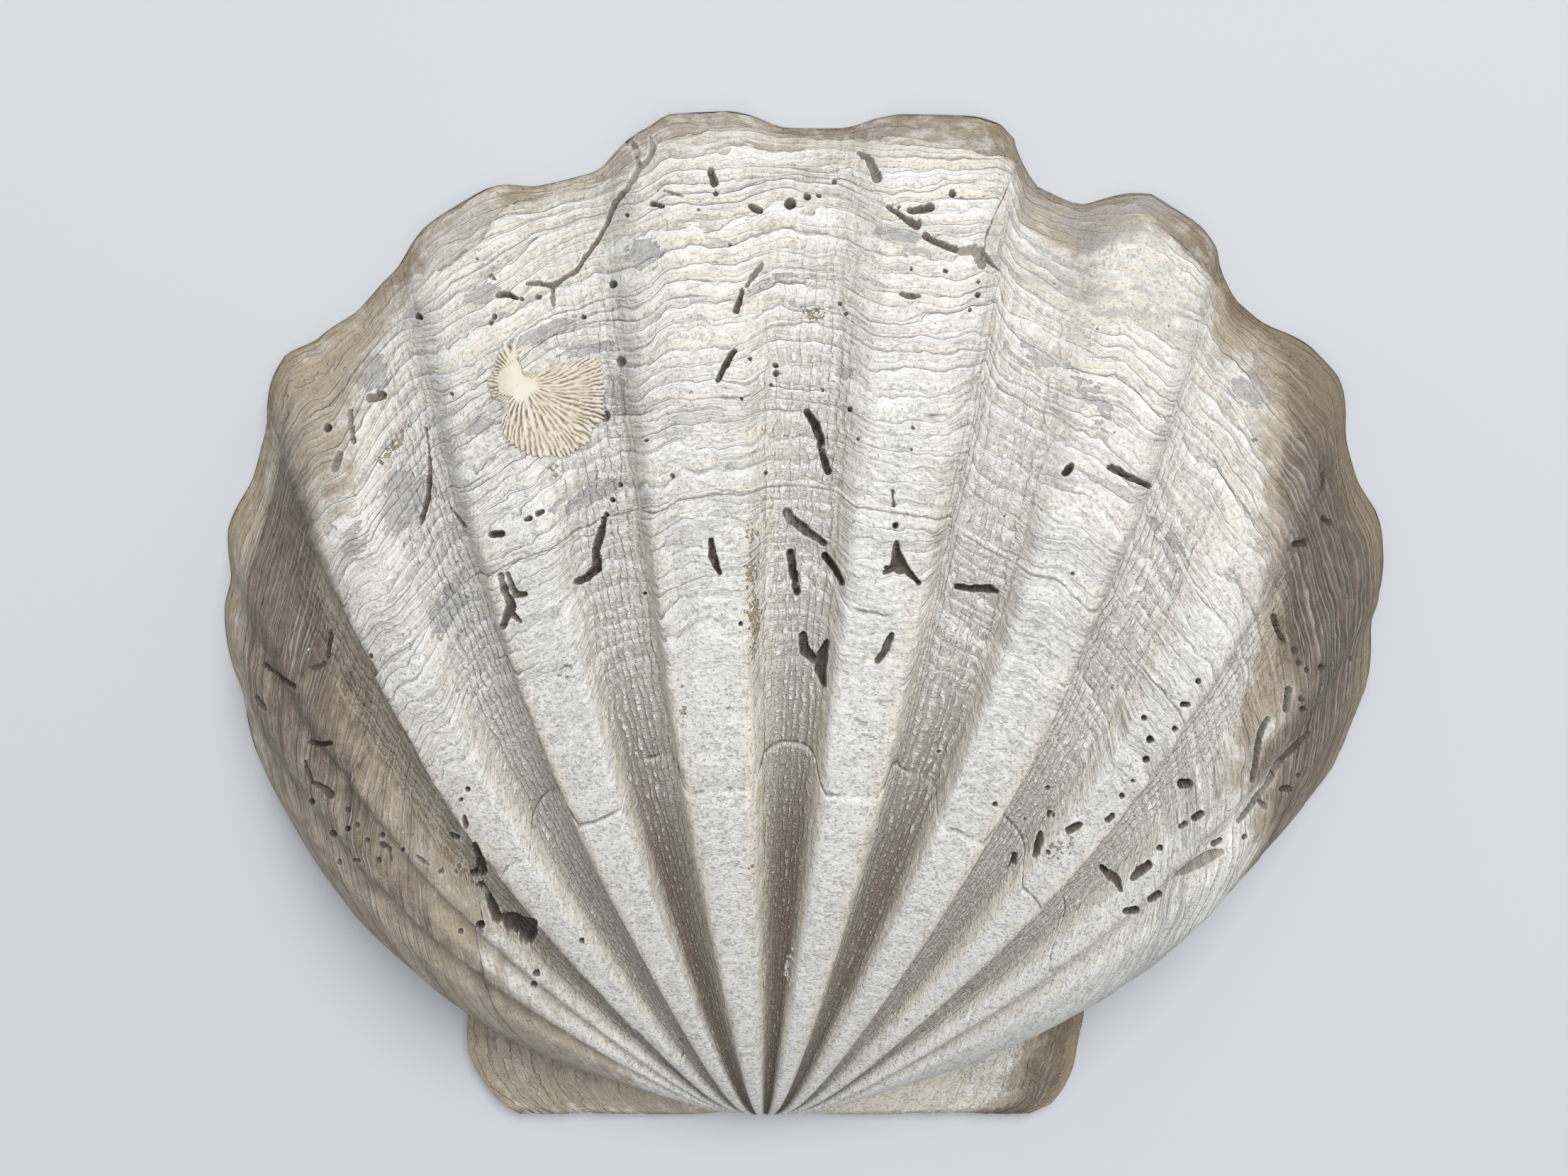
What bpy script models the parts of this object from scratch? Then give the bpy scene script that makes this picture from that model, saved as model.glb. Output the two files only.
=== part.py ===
"""One valve of a large fossil scallop, lying convex side up on its margin.

The valve is a coiled shell. Every point has a bearing, in degrees round the beak from the middle line
out to the hinge line, and a growth, from 0 at the beak to 1 at the margin. A growth line is the margin
made smaller and turned up about the hinge line. Ribs run along the bearings, ledges along the growth
lines. A thin fan-ribbed plate of another animal is cemented on the outside.
"""

import bmesh
import bpy
import numpy as np
from mathutils import Matrix, Vector
from mathutils.bvhtree import BVHTree

OBJECT_NAME = "chesapecten_jeffersonius_fossil"

# Driving dimensions, in millimetres and degrees. The mesh is made in metres
METRE = 0.001
BEAK = (-3.8, -50.54)
REST_LIFT = 0.25
HINGE_BEARING = 90.0

# How far the growth lines turn up about the hinge line, by growth, and how much taller the flanks are
COIL = 38.0
COIL_POWER = 2.4
BEAK_CURL = 55.0
BEAK_CURL_REACH = 0.12
FLANK_START = 35.0
FLANK_FULL = 60.0
FLANK_SWELL = 0.33

# The ears start past the disc's flank, rise less, and stand a little off the resting plane
EAR_START = 64.0
EAR_WALL = 2.0
EAR_HEIGHT = 1.7
EAR_HEIGHT_FULL = 0.3
EAR_SLOPE = 0.75

# Wall thickness: thin at the beak, thinner again towards the margin, whose rim stands square
WALL_THICKNESS = 2.5
MARGIN_THICKNESS = 1.9
MARGIN_THINNING_FROM = 0.8
EAR_THICKNESS = 1.3
UMBO_THINNING = 0.15
HOLLOW_START = 0.03
SQUARE_RIM_FROM = 0.93
LEAST_LEVEL = 0.2

# Reach of the margin from the beak, in millimetres, by bearing in degrees: left ear, disc, right ear
OUTLINE = [
    (-90.0, 25.0), (-87.5, 27.0), (-84.0, 28.5), (-81.0, 29.8), (-77.5, 31.0), (-74.0, 31.6),
    (-68.0, 32.5), (-65.0, 33.0), (-64.0, 34.5), (-62.8, 39.5), (-61.4, 47.5), (-58.5, 54.5),
    (-54.5, 61.5), (-51.0, 67.5), (-47.5, 72.5), (-45.5, 75.5), (-39.0, 83.0), (-34.5, 88.0),
    (-31.0, 90.6), (-29.0, 90.2), (-24.0, 93.7), (-19.0, 96.0), (-15.0, 97.4), (-9.5, 97.8),
    (-6.2, 99.8), (-5.2, 100.8), (1.0, 100.6), (7.0, 101.2), (13.0, 102.6), (14.6, 102.0),
    (16.0, 99.4), (18.5, 98.7), (22.0, 100.6), (27.0, 99.0), (29.5, 96.3), (32.7, 95.2),
    (36.6, 94.0), (40.2, 90.8), (44.3, 87.0), (49.0, 81.5), (53.0, 75.5), (57.0, 68.5),
    (60.2, 59.5), (63.0, 47.5), (64.6, 39.0), (66.0, 36.5), (69.3, 35.0), (72.8, 34.0),
    (76.3, 33.0), (81.5, 32.0), (85.5, 30.8), (88.3, 29.4), (90.0, 27.3),
]

# Channels between the ribs: bearing of the middle, half width, and depth as a share of the full relief
CHANNELS = [
    (-50.5, 1.5, 0.35), (-44.0, 1.3, 0.45), (-36.8, 3.0, 1.0), (-24.5, 3.1, 1.0), (-11.5, 3.1, 1.0),
    (2.9, 3.1, 1.0), (16.3, 3.2, 1.0), (29.7, 3.1, 1.0), (41.3, 2.6, 0.9), (50.0, 1.6, 0.5),
]
WALL_HALF_WIDTH = 0.8
RELIEF_RISE = 5.2
RELIEF_FULL = 2.7
RELIEF_AT_MARGIN = 1.7
RELIEF_FADE_FROM = 0.72
RELIEF_START = 0.03
INNER_RELIEF_FROM = 0.45

# How much further out a growth line runs in a channel than on a rib
CHANNEL_BOW = 0.03
CHANNEL_BOW_OUTER = 0.014
BOW_START = (0.1, 0.4)
BOW_CHANGE = (0.5, 0.66)
BOW_END = (0.95, 0.995)

# Growth ledges: growth of the break, and drop in millimetres just past it
LEDGES = [(0.482, 0.45), (0.702, 0.7), (0.845, 0.55), (0.925, 0.6)]
LEDGE_RECOVERY = 0.03
LEDGE_LIP = 0.006
LEDGE_LOSS_ON_EAR = 0.6

# The mesh's growth lines, apart from the close pair at each ledge, and its columns outside the channels
ROW_GROWTHS = [0.0, 0.035, 0.075, 0.12, 0.17, 0.225, 0.28, 0.34, 0.4, 0.445, 0.535, 0.6, 0.665, 0.745,
               0.79, 0.885, 0.965, 1.0]
FLANK_COLUMNS = [54.0, 57.5, 60.5, 62.6, 64.0, 65.4, 68.0, 73.0, 79.0, 85.0, 90.0]
MERGE_DISTANCE = 1e-7
BEARING_STEP = 0.6
GROWTH_STEP = 0.004

# Borings: bearing and growth of the middle, length, width and depth in millimetres, and the turn of
# the long side away from the rib's own direction
BORINGS = [
    (3.6, 0.600, 3.0, 1.2, 1.5, 8.0), (5.4, 0.589, 4.4, 1.3, 1.5, -6.0),
    (10.5, 0.656, 3.0, 2.2, 1.4, 0.0), (3.9, 0.745, 5.8, 1.1, 1.2, 14.0),
    (3.3, 0.689, 4.4, 1.1, 1.1, 50.0), (2.6, 0.655, 4.2, 1.0, 1.3, 10.0),
    (5.6, 0.659, 3.4, 1.0, 1.3, 30.0), (10.3, 0.598, 3.2, 1.0, 1.2, -28.0),
    (16.6, 0.671, 3.6, 0.9, 1.1, 90.0), (-2.2, 0.803, 3.4, 0.9, 1.1, -34.0),
    (-23.9, 0.804, 6.0, 0.9, 1.1, 10.0), (-38.4, 0.450, 5.2, 3.0, 1.1, 60.0),
    (-35.8, 0.519, 3.6, 1.6, 1.0, 10.0), (-11.9, 0.700, 5.6, 1.4, 1.2, -4.0),
    (-20.1, 0.687, 4.6, 1.2, 1.3, 20.0),
]

# The cemented plate: bearing and growth of its middle, and its reach by direction, in millimetres,
# counted anticlockwise from the right as seen from outside
PLATE_BEARING = -15.1
PLATE_GROWTH = 0.828
PLATE_REACH = [(0, 6.6), (40, 5.2), (80, 3.6), (120, 4.4), (160, 3.2), (200, 3.4), (240, 5.2),
               (280, 6.6), (310, 7.2), (340, 7.0), (360, 6.6)]
PLATE_SPOKES = 52
PLATE_RINGS = 3
PLATE_GAP = 0.32
PLATE_THICKNESS = 0.75
PLATE_EDGE_THICKNESS = 0.35
PLATE_RIDGE = 0.12
PROBE_HEIGHT = 10.0

SHELL_COLOUR = (0.71, 0.67, 0.58, 1.0)
PLATE_COLOUR = (0.80, 0.71, 0.55, 1.0)


def smoothstep(low, high, value):
    share = np.clip((value - low) / (high - low), 0.0, 1.0)
    return share * share * (3.0 - 2.0 * share)


def reach(bearing):
    return np.interp(bearing, [b for b, _ in OUTLINE], [r for _, r in OUTLINE])


def ear_share(bearing):
    return smoothstep(EAR_START - EAR_WALL, EAR_START + EAR_WALL, np.abs(bearing))


def smooth_shell(bearing, growth):
    """Place on the shell without ribs or ledges, beak at the origin, in millimetres."""
    angle = np.radians(bearing)
    turned = np.radians(COIL * (1.0 - growth ** COIL_POWER) + BEAK_CURL * np.exp(-growth / BEAK_CURL_REACH))
    across = growth * reach(bearing) * np.sin(angle)
    along = growth * reach(bearing) * np.cos(angle)
    ear = ear_share(bearing)
    swell = 1.0 + FLANK_SWELL * smoothstep(FLANK_START, FLANK_FULL, np.abs(bearing))
    raised = along * np.sin(turned) * (swell * (1.0 - ear) + EAR_SLOPE * ear)
    ear_base = EAR_HEIGHT * ear * smoothstep(0.0, EAR_HEIGHT_FULL, growth)
    return np.stack([across, along * np.cos(turned), raised + ear_base], axis=-1)


def outward(bearing, growth):
    """Direction out of the smooth shell, from short steps along the bearing and the growth."""
    low = np.maximum(bearing - BEARING_STEP, -HINGE_BEARING)
    high = np.minimum(bearing + BEARING_STEP, HINGE_BEARING)
    level = np.maximum(growth, GROWTH_STEP)
    across = smooth_shell(high, level) - smooth_shell(low, level)
    along = smooth_shell(bearing, level + GROWTH_STEP) - smooth_shell(bearing, level - GROWTH_STEP)
    normal = np.cross(across, along)
    return normal / np.maximum(np.linalg.norm(normal, axis=-1, keepdims=True), 1e-9)


def rib_shape(bearing):
    """1 on a rib, 0 on the floor of a full channel, part way in a shallow one."""
    height = np.ones_like(bearing)
    for middle, half_width, depth in CHANNELS:
        away = np.abs(bearing - middle)
        inside = 1.0 - smoothstep(half_width - WALL_HALF_WIDTH, half_width + WALL_HALF_WIDTH, away)
        height = height - depth * inside
    return height


def relief(bearing, growth):
    """Height of the ribs above the middle of the relief, in millimetres."""
    full = np.minimum(RELIEF_RISE * growth, RELIEF_FULL)
    fade = smoothstep(RELIEF_FADE_FROM, 1.0, growth)
    full = full + (RELIEF_AT_MARGIN - RELIEF_FULL) * fade
    return full * (rib_shape(bearing) - 0.5) * (1.0 - ear_share(bearing))


def bowed(bearing, line):
    """Growth of a growth line at a bearing: it reaches further out in the channels."""
    amount = CHANNEL_BOW + (CHANNEL_BOW_OUTER - CHANNEL_BOW) * smoothstep(*BOW_CHANGE, line)
    amount = amount * smoothstep(*BOW_START, line) * (1.0 - smoothstep(*BOW_END, line))
    return line + amount * (1.0 - rib_shape(bearing))


def ledge_drop(bearing, line):
    drop = np.zeros_like(line)
    for at, depth in LEDGES:
        past = line - at
        drop = drop + np.where(past > 0.0, depth * np.exp(-past / LEDGE_RECOVERY), 0.0)
    return drop * (1.0 - LEDGE_LOSS_ON_EAR * ear_share(bearing))


def outer_face(bearing, line):
    growth = bowed(bearing, line)
    place = smooth_shell(bearing, growth)
    height = relief(bearing, growth) - ledge_drop(bearing, line)
    height = height * smoothstep(0.0, RELIEF_START, line)
    return place + outward(bearing, growth) * height[..., None]


def inner_face(bearing, line):
    """The hollow side, corrugated only near the margin."""
    growth = bowed(bearing, line)
    place = smooth_shell(bearing, growth)
    normal = outward(bearing, growth)
    ear = ear_share(bearing)
    thinned = smoothstep(MARGIN_THINNING_FROM, 1.0, growth)
    thickness = WALL_THICKNESS + (MARGIN_THICKNESS - WALL_THICKNESS) * thinned
    thickness = thickness * (1.0 - ear) + EAR_THICKNESS * ear
    thickness = thickness * (1.0 - np.exp(-growth / UMBO_THINNING))
    corrugation = relief(bearing, growth) * smoothstep(INNER_RELIEF_FROM, 1.0, growth)
    square = smoothstep(SQUARE_RIM_FROM, 1.0, growth)[..., None] * (1.0 - ear[..., None])
    level = normal * np.array([1.0, 1.0, 0.0])
    level = level / np.maximum(np.linalg.norm(level, axis=-1, keepdims=True), LEAST_LEVEL)
    inward = normal * (1.0 - square) + level * square
    return place - inward * thickness[..., None] + normal * corrugation[..., None]


def in_frame(points):
    """Puts the beak where the frame has it, and levels off what would reach below the resting plane."""
    moved = points + np.array([BEAK[0], BEAK[1], REST_LIFT])
    moved[..., 2] = np.maximum(moved[..., 2], 0.0)
    return moved * METRE


def grid_bearings():
    """One column at each foot and shoulder of a channel, and in the middle of each rib and channel."""
    columns = FLANK_COLUMNS + [-column for column in FLANK_COLUMNS]
    shoulders = []
    for middle, half_width, _ in CHANNELS:
        edges = (middle - half_width - WALL_HALF_WIDTH, middle + half_width + WALL_HALF_WIDTH)
        columns += [edges[0], middle - half_width + WALL_HALF_WIDTH, middle]
        columns += [middle + half_width - WALL_HALF_WIDTH, edges[1]]
        shoulders.append(edges)
    for left, right in zip(shoulders[:-1], shoulders[1:]):
        columns.append((left[1] + right[0]) / 2.0)
    return np.array(sorted(columns))


def grid_lines():
    """Growth lines of the mesh: the even ones, and a close pair at each ledge."""
    rows = list(ROW_GROWTHS)
    for at, _ in LEDGES:
        rows += [at, at + LEDGE_LIP]
    return np.array(sorted(rows))


def add_sheet(mesh, points, turned_over):
    """A grid with a vertex for each point, moved onto the points."""
    rows, columns = points.shape[:2]
    half = 0.5
    made = bmesh.ops.create_grid(mesh, x_segments=columns - 1, y_segments=rows - 1, size=half)
    for vertex in made["verts"]:
        column = round((vertex.co.x + half) * (columns - 1))
        row = round((vertex.co.y + half) * (rows - 1))
        vertex.co = points[row, column]
    faces = list({face for vertex in made["verts"] for face in vertex.link_faces})
    if turned_over:
        bmesh.ops.reverse_faces(mesh, faces=faces)


def new_object(name, mesh, colour, collection):
    data = bpy.data.meshes.new(name)
    mesh.to_mesh(data)
    mesh.free()
    made = bpy.data.objects.new(name, data)
    collection.objects.link(made)
    if colour is not None:
        material = bpy.data.materials.new(name)
        material.use_nodes = True
        shader = material.node_tree.nodes["Principled BSDF"]
        shader.inputs["Base Color"].default_value = colour
        shader.inputs["Roughness"].default_value = 0.8
        shader.inputs["Metallic"].default_value = 0.0
        data.materials.append(material)
    return made


def make_valve(collection):
    bearing, line = np.meshgrid(grid_bearings(), grid_lines())
    mesh = bmesh.new()
    add_sheet(mesh, in_frame(outer_face(bearing, line)), False)
    add_sheet(mesh, in_frame(inner_face(bearing, np.maximum(line, HOLLOW_START))), True)
    bmesh.ops.bridge_loops(mesh, edges=[edge for edge in mesh.edges if edge.is_boundary])
    bmesh.ops.remove_doubles(mesh, verts=mesh.verts, dist=MERGE_DISTANCE)
    bmesh.ops.recalc_face_normals(mesh, faces=mesh.faces)
    bmesh.ops.triangulate(mesh, faces=mesh.faces)
    return new_object("valve", mesh, SHELL_COLOUR, collection)


def local_axes(bearing, growth):
    """A place on the outside, with the directions along the rib, across it and out of the shell."""
    here = (np.array([bearing]), np.array([growth]))
    place = in_frame(outer_face(*here))[0]
    up = Vector(outward(*here)[0])
    ahead = smooth_shell(here[0], here[1] + GROWTH_STEP) - smooth_shell(*here)
    along = Vector(ahead[0])
    along = (along - up * along.dot(up)).normalized()
    return Vector(place), along, along.cross(up), up


def cut_borings(valve, collection):
    """Each boring is cut by a long drop-shaped body sunk in the outside."""
    cutters = bmesh.new()
    for bearing, growth, length, width, depth, turn in BORINGS:
        place, along, across, up = local_axes(bearing, growth)
        axes = Matrix((across, along, up)).transposed().to_4x4()
        size = Matrix.Diagonal((width / 2.0 * METRE, length / 2.0 * METRE, depth * METRE, 1.0))
        turned = Matrix.Rotation(np.radians(turn), 4, "Z")
        placed = Matrix.Translation(place) @ axes @ turned @ size
        bmesh.ops.create_icosphere(cutters, subdivisions=1, radius=1.0, matrix=placed)
    cutter = new_object("boring_cutters", cutters, None, collection)
    cutter.hide_render = True
    cutter.display_type = "WIRE"
    cut = valve.modifiers.new("borings", "BOOLEAN")
    cut.operation = "DIFFERENCE"
    cut.solver = "EXACT"
    cut.use_self = True
    cut.object = cutter


def make_plate(valve, collection):
    """The cemented plate: a disc of spokes laid on the shell, thin, with a ridge on every other spoke."""
    shell = valve.data
    seat = BVHTree.FromPolygons([v.co for v in shell.vertices], [face.vertices for face in shell.polygons])
    middle, along, across, up = local_axes(PLATE_BEARING, PLATE_GROWTH)
    spokes = np.arange(PLATE_SPOKES) * 360.0 / PLATE_SPOKES
    reaches = np.interp(spokes, [d for d, _ in PLATE_REACH], [r for _, r in PLATE_REACH])

    def lay(height, turned_over):
        points = np.zeros((PLATE_RINGS + 1, PLATE_SPOKES + 1, 3))
        for ring in range(PLATE_RINGS + 1):
            share = ring / PLATE_RINGS
            for spoke in range(PLATE_SPOKES + 1):
                direction = np.radians(spokes[spoke % PLATE_SPOKES])
                out = share * reaches[spoke % PLATE_SPOKES] * METRE
                flat = middle + (across * np.cos(direction) + along * np.sin(direction)) * out
                hit = seat.ray_cast(flat + up * PROBE_HEIGHT * METRE, -up)[0]
                points[ring, spoke] = hit + up * height(share, spoke % PLATE_SPOKES) * METRE
        add_sheet(mesh, points, turned_over)

    def top(share, spoke):
        thickness = PLATE_THICKNESS + (PLATE_EDGE_THICKNESS - PLATE_THICKNESS) * share ** 2
        ridge = PLATE_RIDGE * (spoke % 2) * min(1.0, 2.0 * share)
        return PLATE_GAP + thickness + ridge

    mesh = bmesh.new()
    lay(top, False)
    lay(lambda share, spoke: PLATE_GAP, True)
    bmesh.ops.remove_doubles(mesh, verts=mesh.verts, dist=MERGE_DISTANCE)
    bmesh.ops.bridge_loops(mesh, edges=[edge for edge in mesh.edges if edge.is_boundary])
    bmesh.ops.recalc_face_normals(mesh, faces=mesh.faces)
    bmesh.ops.triangulate(mesh, faces=mesh.faces)
    return new_object("encrusting_barnacle_base", mesh, PLATE_COLOUR, collection)


def new_collection(name):
    made = bpy.data.collections.new(name)
    bpy.context.scene.collection.children.link(made)
    return made


def main():
    for old in list(bpy.data.objects):
        bpy.data.objects.remove(old, do_unlink=True)
    parts = new_collection(OBJECT_NAME)
    cutters = new_collection("cutters")
    valve = make_valve(parts)
    cut_borings(valve, cutters)
    make_plate(valve, parts)


main()
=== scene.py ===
"""Looks of one valve of a large fossil scallop, lying convex side up, with a barnacle's base cemented on it.

The valve is a net of growth lines and bearings, as the solid has it, laid out flat, cut finer round the
borings, stitched shut, and then moved onto the coiled shell with its ribs, ledges, cracks and borings.
Places on the shell that the photograph gives are kept in its pixels, and found again through the camera.
"""

import math

import bmesh
import bpy
import numpy as np
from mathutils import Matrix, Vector
from mathutils.bvhtree import BVHTree


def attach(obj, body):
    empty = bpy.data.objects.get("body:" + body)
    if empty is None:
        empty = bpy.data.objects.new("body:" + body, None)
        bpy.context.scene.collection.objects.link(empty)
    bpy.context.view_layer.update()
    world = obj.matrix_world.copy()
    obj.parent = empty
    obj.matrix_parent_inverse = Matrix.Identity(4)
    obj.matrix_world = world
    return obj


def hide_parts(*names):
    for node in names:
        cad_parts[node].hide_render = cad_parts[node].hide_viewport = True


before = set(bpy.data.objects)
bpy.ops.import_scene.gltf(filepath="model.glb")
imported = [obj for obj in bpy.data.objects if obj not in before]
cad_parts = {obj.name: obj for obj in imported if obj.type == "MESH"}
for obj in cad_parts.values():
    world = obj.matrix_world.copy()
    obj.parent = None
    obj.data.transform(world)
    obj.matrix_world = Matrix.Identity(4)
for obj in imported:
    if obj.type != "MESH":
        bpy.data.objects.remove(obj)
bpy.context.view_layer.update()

# The photograph's frame and the camera: focal length in millimetres, place in metres, tilt in degrees
PHOTO_WIDTH = 2212
PHOTO_HEIGHT = 1659
SENSOR = 36.0
LENS = 52.0
CAMERA_PLACE = (-0.0017, 0.0392, 0.2232)
CAMERA_TILT = 9.0

# A millimetre in metres, the least length that a direction is read from, and how near vertices are welded
MILLIMETRE = 0.001
LEAST_LENGTH = 1e-9
WELD_NEAR = 1e-8

# The valve's form, in millimetres and degrees
BEAK = (-3.8, -50.54)
REST_LIFT = 0.25
HINGE_BEARING = 90.0
COIL = 38.0
COIL_POWER = 2.4
BEAK_CURL = 55.0
BEAK_CURL_REACH = 0.12
FLANK_START = 35.0
FLANK_FULL = 60.0
FLANK_SWELL = 0.33
EAR_START = 64.0
EAR_WALL = 2.0
EAR_HEIGHT = 1.7
EAR_HEIGHT_FULL = 0.3
EAR_SLOPE = 0.75
WALL_THICKNESS = 2.5
MARGIN_THICKNESS = 1.9
MARGIN_THINNING_FROM = 0.8
EAR_THICKNESS = 1.3
UMBO_THINNING = 0.15
HOLLOW_START = 0.03
SQUARE_RIM_FROM = 0.93
LEAST_LEVEL = 0.2
BEARING_STEP = 0.6
GROWTH_STEP = 0.004
LEAST_WALL = 0.3
LEAST_WALL_SHARE = 0.3
EDGE_LIFT = 0.35
RIM_ON_MAP = 0.02

# Reach of the margin from the beak, in millimetres, by bearing in degrees: left ear, disc, right ear
OUTLINE = [
    (-90.0, 25.0), (-87.5, 27.0), (-84.0, 28.5), (-81.0, 29.8), (-77.5, 31.0), (-74.0, 31.6),
    (-68.0, 32.5), (-65.0, 33.0), (-64.0, 34.5), (-62.8, 39.5), (-61.4, 47.5), (-58.5, 54.5),
    (-54.5, 61.5), (-51.0, 67.5), (-47.5, 72.5), (-45.5, 75.5), (-39.0, 83.0), (-34.5, 88.0),
    (-31.0, 90.6), (-29.0, 90.2), (-24.0, 93.7), (-19.0, 96.0), (-15.0, 97.4), (-9.5, 97.8),
    (-6.2, 99.8), (-5.2, 100.8), (1.0, 100.6), (7.0, 101.2), (13.0, 102.6), (14.6, 102.0),
    (16.0, 99.4), (18.5, 98.7), (22.0, 100.6), (27.0, 99.0), (29.5, 96.3), (32.7, 95.2),
    (36.6, 94.0), (40.2, 90.8), (44.3, 87.0), (49.0, 81.5), (53.0, 75.5), (57.0, 68.5),
    (60.2, 59.5), (63.0, 47.5), (64.6, 39.0), (66.0, 36.5), (69.3, 35.0), (72.8, 34.0),
    (76.3, 33.0), (81.5, 32.0), (85.5, 30.8), (88.3, 29.4), (90.0, 27.3),
]

# Channels between the ribs: bearing of the middle, half width, and depth as a share of the full relief
CHANNELS = [
    (-50.5, 1.5, 0.35), (-44.0, 1.3, 0.45), (-36.8, 3.0, 1.0), (-24.5, 3.1, 1.0), (-11.5, 3.1, 1.0),
    (2.9, 3.1, 1.0), (16.3, 3.2, 1.0), (29.7, 3.1, 1.0), (41.3, 2.6, 0.9), (50.0, 1.6, 0.5),
]
WALL_HALF_WIDTH = 0.8
WALL_SPREAD = 0.9
WALL_SPREAD_OVER = (0.55, 0.90)
FLOOR_ROUNDING = 0.22
RELIEF_RISE = 5.2
RELIEF_FULL = 2.7
RELIEF_AT_MARGIN = 1.7
RELIEF_FADE_FROM = 0.72
RELIEF_START = 0.03
INNER_RELIEF_FROM = 0.45
RELIEF_MIDDLE = 0.5

# Main growth breaks: growth line; growth at bearing -50, 0 and 50 on a rib; how much further out the
# line runs in a channel; and drop past it, in millimetres
BREAK_BEARINGS = (-50.0, 0.0, 50.0)
BREAKS = [
    (0.300, (0.304, 0.300, 0.292), 0.012, 0.06),
    (0.480, (0.494, 0.480, 0.442), 0.030, 0.45),
    (0.632, (0.622, 0.634, 0.600), 0.022, 0.20),
    (0.705, (0.711, 0.708, 0.655), 0.012, 0.60),
    (0.775, (0.778, 0.776, 0.742), 0.019, 0.22),
    (0.845, (0.845, 0.845, 0.825), 0.023, 0.45),
    (0.925, (0.925, 0.925, 0.915), 0.024, 0.50),
]
BREAK_RECOVERY = 0.03
BREAK_LIP = 0.0016
BREAK_UNEVEN = 0.45
BREAK_SOFT = 1e-6

# The broken edge of the outer layer round the margin, by bearing and growth line: past it a brown layer
# lies lower
RIM_LEDGE = [
    (-66.0, 1.06), (-62.0, 0.995), (-58.0, 0.960), (-50.0, 0.945), (-40.0, 0.960), (-30.0, 0.985),
    (-24.0, 0.985), (-18.9, 0.945), (-16.6, 0.952), (-15.2, 0.971), (-13.1, 0.983), (-10.5, 0.987),
    (-8.3, 0.969), (-4.5, 0.974), (-2.6, 0.979), (0.4, 0.982), (5.0, 0.978), (10.1, 0.973),
    (12.2, 0.967), (14.0, 0.968), (14.7, 0.970), (16.6, 0.984), (19.2, 0.989), (21.2, 0.986),
    (23.1, 0.975), (25.3, 0.967), (27.3, 0.967), (28.3, 0.981), (30.0, 0.974), (31.3, 0.985),
    (33.6, 0.977), (36.1, 0.959), (39.0, 0.968), (42.0, 0.984), (52.0, 0.988), (60.0, 0.992),
    (66.0, 1.06),
]
RIM_LEDGE_DROP = 0.38
RIM_LEDGE_STEP = 0.0012
# How strongly the brown layer shows past that edge, by bearing
LAYER_STRENGTH = [
    (-60.0, 0.10), (-30.0, 0.15), (-12.0, 0.35), (-2.0, 0.55), (4.0, 0.80), (10.0, 0.60),
    (14.0, 0.90), (22.0, 0.80), (26.0, 1.00), (37.0, 1.00), (44.0, 0.55), (60.0, 0.35),
]

# Fine ledges between the breaks: how many, where they crowd, their drop and how soon it is made good
FINE_LEDGES = 74
FINE_SEED = 23
FINE_FROM = 0.50
FINE_CROWDING = 0.8
FINE_DROP = (0.05, 0.20)
FINE_THERE = (-0.35, 0.35)
FINE_RECOVERY = 0.010

# How much less of each the ears have than the disc
LESS_ON_EARS = {"bow": 0.8, "break": 0.6, "fine_ledge": 0.35, "rim": 0.5}

# Unevenness over the net: waves in a degree of bearing and in the whole growth, seed, octaves, and size
UNEVEN = {
    "slow_line": (0.22, 14.0, 5, 3, 0.0030),
    "quick_line": (1.1, 30.0, 9, 3, 0.0010),
    "rim_ledge": (0.8, 20.0, 101, 3, 0.0022),
    "fine_ledges": (0.16, 9.0, 31, 3, 0.0035),
    "swells": (0.07, 7.0, 83, 2, 0.28),
    "stain_and_shade": (0.22, 7.0, 121, 3, 0.045),
    "warmth": (0.1, 8.0, 111, 3, 0.05),
}
# Unevenness along one of several lines: waves in a degree, how far apart the lines' noise lies, and seed
ALONG_LINES = {"break": (0.12, 3.7, 17), "fine_ledge": (0.09, 1.9, 41)}
# Unevenness of edges in the photograph: pixels in a wave, seed, octaves, and size in pixels
UNEVEN_EDGES = {"boring": (9.0, 61, 2, 1.1), "chip": (14.0, 71, 3, 2.0), "flake": (20.0, 73, 3, 6.0)}

# Growth over which the lines' raggedness and the swells come in, and the raggedness goes again
RAGGED_FROM = (0.2, 0.5)
RAGGED_UNTIL = (0.96, 1.0)
SWELLS_FROM = (0.35, 0.7)

# Odd numbers that scatter a lattice cell's column, row and seed, and the bits that are kept of them
SCATTER = (374761393, 668265263, 974634777, 1274126177)
KEPT_BITS = 0x7FFFFFFF
SHOWN_BITS = 0xFFFF

# The flat net: rows on the hollow side below and above half growth, rows down the broken margin, and bands
# as growth from and to, how many rows, and how many columns apart the used ones lie
INNER_ROWS = (24, 32)
RIM_ROWS = (0.15, 0.32, 0.5, 0.68, 0.85)
BANDS = [(0.0, 0.25, 52, 4), (0.25, 0.5, 60, 2), (0.5, 1.0, 128, 1)]
COLUMN_PROBE = 0.02
COLUMNS_ON_EAR = 0.55
COLUMNS_ON_FLAT = 2.2
COLUMNS_ON_WALL = 3.1

# Pixels at the valve's level are about this many millimetres, and the net is cut finer this near an edge
PIXEL = 0.0706
BEAK_TO_MARGIN = 110.0
FINE_NEAR = 3.6
FINEST_NEAR = 2.0
LEDGE_FINENESS = 2.2
CUT_BELOW = 0.995


def smoothstep(low, high, value):
    share = np.clip((value - low) / (high - low), 0.0, 1.0)
    return share * share * (3.0 - 2.0 * share)


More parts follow.
